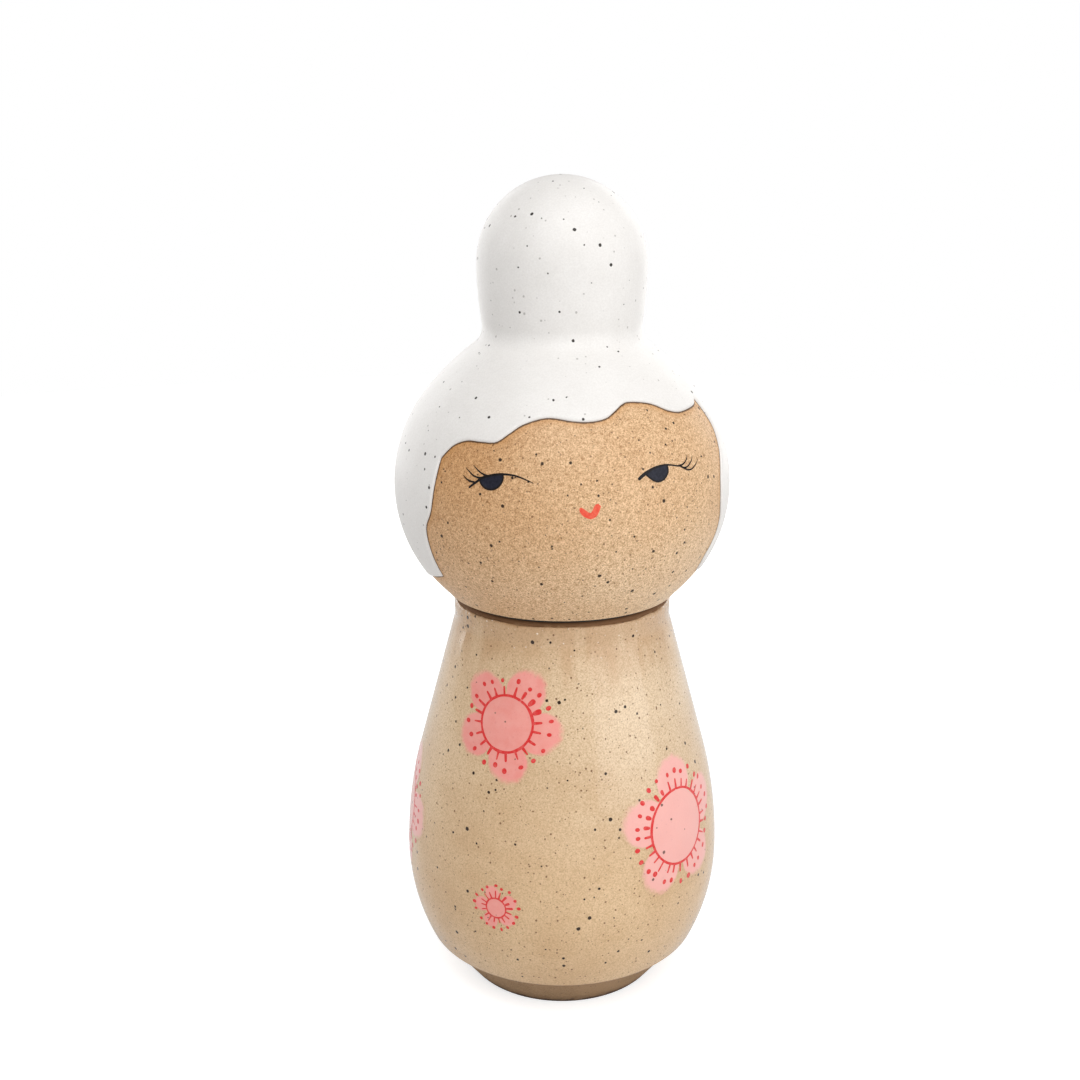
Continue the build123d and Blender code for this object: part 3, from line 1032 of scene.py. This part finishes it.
def head_outline(coat):
    """The clay of the head: round its seat, up the outside, and down the inside of bun and skull."""
    wall = coat + HEAD_WALL
    outside = [HEAD.at(s, -coat) for s in HEAD.stops(HEAD.walked_to(SEAT_HEIGHT + 1.6), HEAD.length)]
    inside = [HEAD.at(s, -wall) for s in reversed(HEAD.stops(0.0, HEAD.length))]
    inside = [p for p in inside if p[1] > SEAT_HEIGHT + 1.6]
    seat_r = HEAD.at(HEAD.walked_to(SEAT_HEIGHT), -coat)[0]
    seat_in = COLLAR_HIGH.x - COLLAR_WALL
    seat = rounded([(*inside[-1], 0), (seat_in + 0.6, SEAT_HEIGHT, 0.6), (seat_r, SEAT_HEIGHT, 0.9),
                    (*outside[0], 0)])[1:-1]
    return inside + seat + outside


class DOLL_OT_throw_head(bpy.types.Operator):
    """Throws the hollow head, and the collar that drops into the jar's mouth"""

    bl_idname = "doll.throw_head"
    bl_label = "Throw the head"

    def execute(self, context):
        coats, tones = context.scene.doll_coats, context.scene.doll_colours
        head = throw("head_clay", head_outline(coats.hair / MM), closed=False)
        finish_piece(head, "head", face_finish(tones), "head_wall")

        outer, inner = COLLAR_HIGH.x, COLLAR_HIGH.x - COLLAR_WALL
        low, high = COLLAR_LOW.z, COLLAR_HIGH.z + 0.3
        chain = [(inner, (low + high) / 2, 0), (inner, low, 1.2), (outer, low, 1.2),
                 (outer, high - 1.6, 0.3), (outer - 0.5, high - 1.0, 0.3), (outer - 0.5, high, 0.1),
                 (inner, high, 0.1), (inner, (low + high) / 2, 0)]
        ring = throw("head_collar_ring", rounded(chain)[:-1], closed=True)
        finish_piece(ring, "head", bpy.data.materials["bare_stoneware"], "head_collar")
        return {"FINISHED"}


# ---------------------------------------------------------------- the hair

# The hair's edge as (azimuth from the front in degrees, height in millimetres), clockwise round the face
LEFT_EDGE = [
    (-60.4, 138.4), (-60.7, 146.0), (-60.2, 153.6), (-56.6, 159.4), (-55.0, 167.0), (-53.8, 174.9)]
FRINGE = [
    (-53.8, 174.9), (-51.8, 176.9), (-48.9, 179.0), (-44.1, 180.4), (-38.0, 180.5), (-32.7, 180.8),
    (-28.4, 183.1), (-23.5, 185.6), (-15.0, 187.3), (-5.3, 186.5), (1.1, 186.3), (7.1, 187.0),
    (10.6, 188.3), (15.4, 190.1), (19.5, 190.5), (28.4, 189.6), (36.0, 187.3), (41.5, 186.4),
    (48.4, 186.5), (55.9, 187.0), (60.0, 188.4)]
RIGHT_EDGE = [
    (60.0, 188.4), (62.0, 184.0), (63.5, 179.5), (61.8, 173.9), (59.3, 170.0), (57.0, 165.0),
    (57.0, 158.5), (58.8, 153.5), (59.0, 148.7), (57.5, 145.2), (55.6, 142.0), (56.2, 137.4)]
HEM = [
    (56.2, 137.4), (70.0, 135.4), (88.0, HAIR_HEM), (108.0, HAIR_HEM + 1.2), (130.0, HAIR_HEM + 0.3),
    (155.0, HAIR_HEM + 1.5), (180.0, HAIR_HEM + 0.4), (205.0, HAIR_HEM + 1.6), (230.0, HAIR_HEM + 0.5),
    (255.0, HAIR_HEM + 1.0), (272.0, HAIR_HEM), (288.0, 135.9), (299.6, 138.4)]
# Each stretch with its columns, and the azimuths that its two ends reach on the crown
HAIR_STRETCHES = [(LEFT_EDGE, 70, (-95.0, -53.8)), (FRINGE, 170, None), (RIGHT_EDGE, 70, (60.0, 97.0)),
                  (HEM, 170, (97.0, 265.0))]
CROWN_LINE = 195.0
FAN_ROWS = 22
FAN_EASE = 1.35
UNDER_ROWS = 8
CORNER_BLUR = 4
# The scorched strip along the edge: where its rows lie, as shares of its width, and how far it stands out
SCORCH_ROWS = [-0.1, 0.0, 0.08, 0.16, 0.3, 0.6, 1.0]
SCORCH_OUT = 0.03


def skin_gap(a, b):
    """The distance on the head between two points given as azimuth and length walked."""
    r = HEAD.at((a.y + b.y) / 2)[0]
    return math.hypot(math.radians(b.x - a.x) * r, b.y - a.y)


def hair_edge():
    """The hair's edge, point by point, each with the azimuth it reaches on the crown."""
    spots, reached = [], []
    for points, columns, reach in HAIR_STRETCHES:
        walked = [(azimuth, HEAD.walked_to(height)) for azimuth, height in points]
        line = even_curve(walked, columns, skin_gap)[:-1]
        for k, spot in enumerate(line):
            spots.append(spot)
            reached.append(spot.x if reach is None else reach[0] + (reach[1] - reach[0]) * k / columns)
    return spots, reached


def edge_sides(spots):
    """The direction from the edge into the hair, at each of its points, smoothed round the corners."""
    count, sides = len(spots), []
    for k in range(count):
        along = Vector((0.0, 0.0))
        for j in range(-CORNER_BLUR, CORNER_BLUR):
            a, b = spots[(k + j) % count], spots[(k + j + 1) % count]
            r = HEAD.at(a.y)[0]
            turned = (b.x - a.x + 180) % 360 - 180
            along += Vector((math.radians(turned) * r, b.y - a.y)).normalized()
        along.normalize()
        sides.append(Vector((-along.y, along.x)))
    return sides


def stand_off(spot, side, distance):
    """A point of the skin, a distance to the side of an edge point."""
    r = HEAD.at(spot.y)[0]
    return Vector((spot.x + math.degrees(side.x * distance / r), spot.y + side.y * distance))


def skin_point(azimuth, walked, out):
    """A point of the head in metres, from its azimuth in degrees and length walked."""
    r, z = HEAD.at(walked, out)
    angle = math.radians(azimuth)
    return Vector((r * math.sin(angle), -r * math.cos(angle), z)) * MM


def hair_rows(thickness, lip):
    """The coat's rows from its edge over the outside to the top, and back under to the edge."""
    crown = HEAD.walked_to(CROWN_LINE)
    rows = [("lip", lip * f, edge_lip(lip * f, lip, thickness) - thickness)
            for f in (0.0, 0.05, 0.18, 0.4, 0.7, 1.0)]
    rows += [("fan", (k / FAN_ROWS) ** FAN_EASE, 0.0) for k in range(1, FAN_ROWS)]
    rows += [("cap", s, 0.0) for s in HEAD.stops(crown, HEAD.length)]
    under = HEAD.stops(crown, HEAD.length)[::-3]
    rows += [("cap", s, -thickness) for s in under]
    rows += [("fan", (k / UNDER_ROWS) ** FAN_EASE, -thickness) for k in range(UNDER_ROWS - 1, 0, -1)]
    rows += [("lip", lip, -thickness), ("lip", 0.0, -thickness)]
    return rows


def fan_point(start, reached, share, crown):
    """Between the edge and the crown line: first away from the edge, then up."""
    turn = (reached - start.x + 180) % 360 - 180
    return start.x + turn * (1 - (1 - share) ** 2), start.y + (crown - start.y) * share ** 1.25


class DOLL_OT_dip_hair(bpy.types.Operator):
    """Lays the white coat over the head, and scorches the clay along its edge"""

    bl_idname = "doll.dip_hair"
    bl_label = "Dip the hair"

    def execute(self, context):
        coats, tones = context.scene.doll_coats, context.scene.doll_colours
        thickness, lip = coats.hair / MM, coats.lip / MM
        spots, reached = hair_edge()
        sides = edge_sides(spots)
        rows = hair_rows(thickness, lip)
        crown = HEAD.walked_to(CROWN_LINE)
        count = len(spots)
        coat = flat_grid("hair_coat", count, len(rows) - 1)

        def place(u, v, level):
            k = round(u * count) % count
            kind, value, out = rows[round(v * (len(rows) - 1))]
            if kind == "lip":
                spot = stand_off(spots[k], sides[k], value)
                return skin_point(spot.x, spot.y, out)
            if kind == "fan":
                start = stand_off(spots[k], sides[k], lip)
                azimuth, walked = fan_point(start, reached[k], value, crown)
                return skin_point(azimuth, walked, out)
            return skin_point(reached[k], value, out)

        move_vertices(coat, place)
        tidy_mesh(coat, 0.005 * MM)
        finish_piece(coat, "head", hair_finish(tones), "hair_glaze")

        width = coats.scorch / MM
        levels = [(row, SCORCH_OUT) for row in SCORCH_ROWS]
        levels += [(row, -SCORCH_OUT) for row in reversed(SCORCH_ROWS)] + levels[:1]
        strip = flat_grid("hair_scorch", count, len(levels) - 1)
        mark(strip, "reach", lambda co: (co.x, levels[round(co.y * (len(levels) - 1))][0]))

        def strip_place(u, v, level):
            k = round(u * count) % count
            share, out = levels[round(v * (len(levels) - 1))]
            spot = stand_off(spots[k], sides[k], -width * share)
            return skin_point(spot.x, spot.y, out - thickness)

        move_vertices(strip, strip_place)
        tidy_mesh(strip, 0.001 * MM)
        finish_piece(strip, "head", scorch_finish(tones))
        return {"FINISHED"}


# ---------------------------------------------------------------- the face

# Each eye: its middle as azimuth and height, then its outlines in millimetres about that middle
LEFT_LID = [(-3.6, -0.75), (-2.2, 0.05), (-0.4, 0.6), (1.3, 1.02), (3.1, 1.25), (4.9, 1.26), (6.7, 1.08),
            (8.5, 0.62), (10.3, -0.02), (12.0, -0.7)]
LEFT_EYE = {
    "middle": (-32.5, 171.6),
    "lid": LEFT_LID,
    "lid_widths": [0.62, 0.66, 0.62, 0.5, 0.36, 0.16],
    "iris_top": LEFT_LID[:5],
    "iris_low": [(-3.6, -0.8), (-2.9, -1.95), (-1.8, -2.85), (-0.3, -3.2), (1.2, -2.95), (2.5, -2.05),
                 (3.25, -0.8), (3.45, 0.3), (3.25, 1.2)],
    "tails": [[(-6.8, -3.4), (-5.6, -2.4), (-4.3, -1.4), (-3.1, -0.45), (-1.8, 0.2)]],
    "lashes": [
        [(-5.95, 2.95), (-4.7, 1.95), (-3.2, 1.05), (-1.4, 0.5), (0.2, 0.75)],
        [(-8.4, 2.0), (-7.05, 1.05), (-5.6, 0.1), (-3.7, -0.3), (-1.7, 0.1)],
        [(-8.95, -0.2), (-7.9, -1.0), (-6.4, -1.55), (-5.0, -1.65)],
    ],
    "lash_widths": [0.14, 0.38, 0.5, 0.52],
}
RIGHT_LID = [(-7.4, -1.75), (-6.2, -0.9), (-4.9, -0.2), (-3.2, 0.55), (-1.4, 1.07), (0.3, 1.32), (2.0, 1.36),
             (4.3, 1.02), (6.3, 0.52), (7.9, 0.3)]
RIGHT_EYE = {
    "middle": (24.0, 172.6),
    "lid": RIGHT_LID,
    "lid_widths": [0.85, 0.95, 0.7, 0.55, 0.5, 0.42, 0.45],
    "iris_top": [(-4.9, -0.35)] + RIGHT_LID[3:7] + [(2.6, 1.3)],
    "iris_low": [(-4.9, -0.45), (-3.8, -1.5), (-2.5, -2.45), (-1.2, -2.88), (0.2, -2.7), (1.6, -1.95),
                 (2.55, -0.8), (2.75, 0.3), (2.6, 1.2)],
    "tails": [],
    "lashes": [
        [(11.1, 3.0), (10.7, 2.0), (9.75, 1.15), (8.3, 0.55), (6.6, 0.45)],
        [(13.3, 2.35), (12.8, 1.35), (11.8, 0.45), (10.4, -0.3), (8.9, -0.36), (7.6, 0.2)],
        [(15.6, 1.0), (14.8, 0.1), (13.5, -0.7), (12.1, -1.25), (10.5, -1.2), (9.1, -0.55), (7.8, 0.15)],
    ],
    "lash_widths": [0.12, 0.36, 0.46, 0.5],
}
IRIS_RIM_WIDTHS = [0.42, 0.5, 0.5, 0.45]
TAIL_WIDTHS = [0.5, 0.62, 0.7, 0.6]
# How far the ink lines lie above the iris
INK_LIFT = 0.012
LIPS = (-0.7, 162.8)
LIPS_LOW = [(-3.1, 1.35), (-2.85, 0.35), (-2.0, -0.7), (-0.7, -1.38), (0.45, -1.5), (1.65, -0.8),
            (2.4, 0.5), (2.85, 1.9)]
LIPS_HIGH = [(-2.75, 1.72), (-2.2, 1.52), (-1.4, 0.95), (-0.6, 0.35), (0.0, 0.15), (0.45, 0.7),
             (0.95, 1.75), (1.35, 2.35), (2.1, 2.6)]


def paint_eye(name, eye, thickness, coat, ink, iris):
    """An eye: the iris hangs from its lid, which runs out into the lashes."""
    pupil = filled_shape(eye["iris_low"], eye["iris_top"], name="iris")
    pupil.data.materials.append(iris)
    lines = [brush_line(eye["lid"], eye["lid_widths"], 60)]
    lines.append(brush_line(eye["iris_low"], IRIS_RIM_WIDTHS, 40))
    lines += [brush_line(tail, TAIL_WIDTHS, 24) for tail in eye["tails"]]
    lines += [brush_line(lash, eye["lash_widths"], 30) for lash in eye["lashes"]]
    for line in lines:
        line.data.materials.append(ink)
        move_vertices(line, lambda x, y, out: (x, y, INK_LIFT))
    for part in [pupil] + lines:
        thicken(part, thickness)
    painted = join(name, [pupil] + lines)
    move_vertices(painted, on_form(HEAD, *eye["middle"], depth=coat))
    return painted


class DOLL_OT_paint_face(bpy.types.Operator):
    """Paints the eyes and the lips on the bare clay"""

    bl_idname = "doll.paint_face"
    bl_label = "Paint the face"

    def execute(self, context):
        coats, tones = context.scene.doll_coats, context.scene.doll_colours
        coat, paint = coats.hair / MM, coats.paint / MM
        ink = satin_paint("ink_black", tones.ink, (0.03, 0.022, 0.018), 0.5)
        iris = satin_paint("iris_ink", tones.iris, (0.03, 0.032, 0.05), 0.6, roughness=0.34)
        left = paint_eye("eye_at_minus_x", LEFT_EYE, paint, coat, ink, iris)
        finish_piece(left, "head", node="left_eye")
        right = paint_eye("eye_at_plus_x", RIGHT_EYE, paint, coat, ink, iris)
        finish_piece(right, "head", node="right_eye")
        lips = filled_shape(LIPS_LOW, LIPS_HIGH, name="lips_painted")
        thicken(lips, paint)
        move_vertices(lips, on_form(HEAD, *LIPS, depth=coat))
        coral = satin_paint("lip_coral", tones.coral, (0.9, 0.2, 0.12), 0.7)
        finish_piece(lips, "head", coral, "lips")
        return {"FINISHED"}


# ---------------------------------------------------------------- the flowers

# Each flower: its middle's azimuth from the front and height, its motif, and the turn of its petals
FLOWERS = [
    (-33.9, 96.2, "medium", 62.0),
    (37.5, 61.8, "large", 87.0),
    (-32.5, 41.9, "small", 30.0),
    (-95.5, 57.0, "large", 0.0),
    (112.0, 97.0, "medium", 20.0),
    (174.0, 60.0, "large", 50.0),
    (100.0, 37.0, "small", 12.0),
    (-142.0, 99.0, "medium", 66.0),
]
# Each motif: ring radius, strokes, stroke reach, dots' distance out, line width, dot size, petal size,
# petals' distance out, and where round the flower the brush was full
MOTIFS = {
    "small": (3.15, 17, (4.9, 5.7), 6.9, 0.5, 0.52, 2.5, 4.9, 0.0),
    "medium": (8.3, 20, (10.8, 11.6), 13.0, 0.84, 0.72, 6.5, 11.6, -22.0),
    "large": (11.5, 28, (14.0, 15.4), 16.8, 0.8, 0.74, 7.6, 14.6, 56.0),
}
# How much wider the strokes are where the brush was full
FULL_WIDER = 0.95
# How far the red lies above the pink, as a share of the paint's thickness
RED_LIFT = 0.4
PETALS = 5


def petal_reach(ring, petal, out):
    """How far out the pink goes, at an angle: the disc, or the petal there."""

    def reach(angle):
        far = ring + 0.3
        for k in range(PETALS):
            swing = angle - math.tau * k / PETALS
            across = out * math.sin(swing)
            if abs(across) < petal and math.cos(swing) > 0:
                uneven = 1 + 0.035 * math.sin(3.1 * angle + k * 2.3)
                far = max(far, (out * math.cos(swing) + math.sqrt(petal ** 2 - across ** 2)) * uneven)
        return far

    return reach


def brush_stroke(angle, start, tip, width, shape):
    """A short stroke outwards, in line with the middle."""
    reaches = (start, (start + tip) / 2, tip)
    points = [(reach * math.cos(angle), reach * math.sin(angle)) for reach in reaches]
    return brush_line(points, [width * part for part in shape], 8, 2)


def brush_dot(angle, out, wide, tall):
    """A dab of the brush, taller outwards than it is wide."""
    spot = polar_shape(lambda around: 1.0, 12, 2, name="dot")
    along = Vector((math.cos(angle), math.sin(angle)))

    def place(x, y, level):
        reach, aside = out + x * tall, y * wide
        return reach * along.x - aside * along.y, reach * along.y + aside * along.x, level

    move_vertices(spot, place)
    return spot


def draw_motif(size, thickness, draw):
    """A flower drawn flat: its pink, and its red ring, strokes and dots."""
    ring, strokes, stroke_reach, dots_out, line, dot, petal, out, full_at = MOTIFS[size]
    pink = polar_shape(petal_reach(ring, petal, out), 200, 22, name="pink_" + size)
    thicken(pink, thickness)
    hoop = [(ring * math.cos(math.tau * k / 24), ring * math.sin(math.tau * k / 24)) for k in range(25)]
    widths = [line * draw.uniform(0.8, 1.2) for k in range(24)]
    red = [brush_line(hoop, widths + widths[:1], 120, 2)]
    for k in range(strokes):
        angle = math.tau * (k + draw.uniform(-0.13, 0.13)) / strokes
        full = 1 + FULL_WIDER * max(0.0, math.cos(angle - math.radians(full_at))) ** 6
        width = line * draw.uniform(0.7, 1.05) * full
        start = ring * (1.05 if full > 1.4 else 1.0)
        shape = (0.7, 1.0, 1.15) if full > 1.4 else draw.choice([(1.1, 1.0, 0.9), (1.25, 0.9, 0.65)])
        red.append(brush_stroke(angle, start, draw.uniform(*stroke_reach), width, shape))
        wide, tall = dot * draw.uniform(0.75, 1.15), dot * draw.uniform(0.85, 1.25)
        turned = angle + draw.uniform(-0.04, 0.04)
        red.append(brush_dot(turned, dots_out * draw.uniform(0.96, 1.06), wide, tall))
    for part in red:
        move_vertices(part, lambda x, y, level: (x, y, thickness * RED_LIFT))
        thicken(part, thickness)
    return pink, join("red_" + size, red)


class DOLL_OT_paint_flowers(bpy.types.Operator):
    """Draws the three blossom motifs once, and lays a copy of one at each place on the jar"""

    bl_idname = "doll.paint_flowers"
    bl_label = "Paint the flowers"

    def execute(self, context):
        coats, tones = context.scene.doll_coats, context.scene.doll_colours
        paint = coats.paint / MM
        draw = random.Random(context.scene.doll_stage.seed)
        motifs = {size: draw_motif(size, paint, draw) for size in MOTIFS}
        deep = petal_finish("petal_pink", tones, 0.0)
        pale = petal_finish("petal_pale", tones, 0.5)
        reds = red_finish(tones)
        for number, (azimuth, height, size, turn) in enumerate(FLOWERS, 1):
            spread_out = on_form(JAR, azimuth, height)
            cosine, sine = math.cos(math.radians(turn)), math.sin(math.radians(turn))

            def lay(x, y, out):
                return spread_out(x * cosine - y * sine, x * sine + y * cosine, out)

            petals = copy_of(motifs[size][0], f"blossom_{number}_pink")
            move_vertices(petals, lay)
            pink = pale if size == "large" else deep
            finish_piece(petals, "jar", pink, f"flower_{number}_petals")
            lines = copy_of(motifs[size][1], f"blossom_{number}_red")
            move_vertices(lines, lay)
            finish_piece(lines, "jar", reds, f"flower_{number}_stamens")
        for pair in motifs.values():
            for flat in pair:
                bpy.data.objects.remove(flat)
        return {"FINISHED"}


# ---------------------------------------------------------------- the stage

# Softboxes: name, azimuth from the front in degrees, then height, distance, width and own height in
# metres, and brightness
SOFTBOXES = [
    ("window_right", 44.0, 0.5, 1.1, 1.2, 1.0, 1.3),
    ("sheet_left_behind", -150.0, 0.25, 1.0, 0.95, 1.1, 1.7),
    ("sheet_right_behind", 140.0, 0.3, 1.0, 0.7, 1.1, 1.6),
    ("overhead", -8.0, 1.15, 0.7, 1.1, 1.1, 2.2),
]
AIM_HEIGHT = 0.12
WORLD_LIGHT = 0.44
FLOOR_GLOW = 0.66
FLOOR_BOUNCE = 0.1
FLOOR_RADIUS = 1.3


class DOLL_OT_set_stage(bpy.types.Operator):
    """Sets the floor, the soft light and the camera"""

    bl_idname = "doll.set_stage"
    bl_label = "Set the stage"

    def execute(self, context):
        scene, stage = context.scene, context.scene.doll_stage
        bpy.ops.object.select_all(action="DESELECT")
        bpy.ops.mesh.primitive_circle_add(vertices=96, radius=FLOOR_RADIUS, fill_type="TRIFAN")
        floor = new_object("floor")
        material, tree, shader = new_material("pale_floor")
        paper = clouds(tree, place_in_mm(tree), 40.0, 2.0)
        base = blend(tree, spread(tree, paper, 0.3, 0.7, 0.0, 0.12), stage.floor, (0.68, 0.68, 0.68))
        set_shader(tree, shader, base, roughness=0.9, specular_ior_level=0.1)
        shader.inputs["Emission Color"].default_value = (1.0, 1.0, 1.0, 1.0)
        seen = add(tree, "LightPath").outputs["Is Camera Ray"]
        glow = maths(tree, "MULTIPLY_ADD", seen, FLOOR_GLOW - FLOOR_BOUNCE, FLOOR_BOUNCE)
        tree.links.new(glow, shader.inputs["Emission Strength"])
        floor.data.materials.append(material)

        world = bpy.data.worlds.new("studio")
        scene.world = world
        world.use_nodes = True
        tree = world.node_tree
        backdrop = tree.nodes["Background"]
        seen = add(tree, "LightPath").outputs["Is Camera Ray"]
        level = maths(tree, "MULTIPLY_ADD", seen, 1.0 - WORLD_LIGHT, WORLD_LIGHT)
        tree.links.new(level, backdrop.inputs["Strength"])
        backdrop.inputs["Color"].default_value = (1.0, 1.0, 1.0, 1.0)

        for name, azimuth, height, distance, width, tall, level in SOFTBOXES:
            angle = math.radians(azimuth)
            spot = Vector((distance * math.sin(angle), -distance * math.cos(angle), height))
            bpy.ops.object.light_add(type="AREA", location=spot)
            light = bpy.context.object
            light.name = name
            light.data.shape = "RECTANGLE"
            light.data.size, light.data.size_y = width, tall
            light.data.energy = level * math.pi * width * tall
            aim = Vector((0, 0, AIM_HEIGHT)) - spot
            light.rotation_euler = aim.to_track_quat("-Z", "Y").to_euler()
            light.visible_camera = False

        back, azimuth = stage.distance, stage.azimuth
        spot = (back * math.sin(azimuth), -back * math.cos(azimuth), stage.height)
        bpy.ops.object.camera_add(location=spot, rotation=(math.pi / 2 - stage.pitch, 0, azimuth))
        camera = bpy.context.object
        camera.name = "doll_camera"
        camera.data.lens = stage.lens
        camera.data.sensor_width = 36.0
        camera.data.shift_x = stage.shift
        camera.data.clip_start = 0.01
        scene.camera = camera
        scene.view_settings.view_transform = "Standard"
        return {"FINISHED"}


class DOLL_PT_panel(bpy.types.Panel):
    """The doll's steps and settings, in the sidebar"""

    bl_idname = "DOLL_PT_panel"
    bl_label = "Stoneware Doll"
    bl_space_type = "VIEW_3D"
    bl_region_type = "UI"
    bl_category = "Doll"

    def draw(self, context):
        layout = self.layout
        for step in STEPS:
            layout.operator(step.bl_idname)
        for group in (context.scene.doll_coats, context.scene.doll_colours, context.scene.doll_stage):
            box = layout.box()
            for name in group.__annotations__:
                box.prop(group, name)


STEPS = [
    DOLL_OT_throw_jar,
    DOLL_OT_fit_seal,
    DOLL_OT_throw_head,
    DOLL_OT_dip_hair,
    DOLL_OT_paint_face,
    DOLL_OT_paint_flowers,
    DOLL_OT_set_stage,
]
GROUPS = {"doll_coats": DollCoats, "doll_colours": DollColours, "doll_stage": DollStage}


def register():
    """Makes the settings, steps and panel known."""
    for name, group in GROUPS.items():
        bpy.utils.register_class(group)
        setattr(bpy.types.Scene, name, PointerProperty(type=group))
    for step in STEPS:
        bpy.utils.register_class(step)
    bpy.utils.register_class(DOLL_PT_panel)


def unregister():
    """Takes them out again."""
    bpy.utils.unregister_class(DOLL_PT_panel)
    for step in reversed(STEPS):
        bpy.utils.unregister_class(step)
    for name, group in GROUPS.items():
        delattr(bpy.types.Scene, name)
        bpy.utils.unregister_class(group)


def main():
    """Makes the doll step by step."""
    register()
    bpy.ops.doll.throw_jar()
    bpy.ops.doll.fit_seal()
    bpy.ops.doll.throw_head()
    bpy.ops.doll.dip_hair()
    bpy.ops.doll.paint_face()
    bpy.ops.doll.paint_flowers()
    bpy.ops.doll.set_stage()


if __name__ == "__main__":
    main()
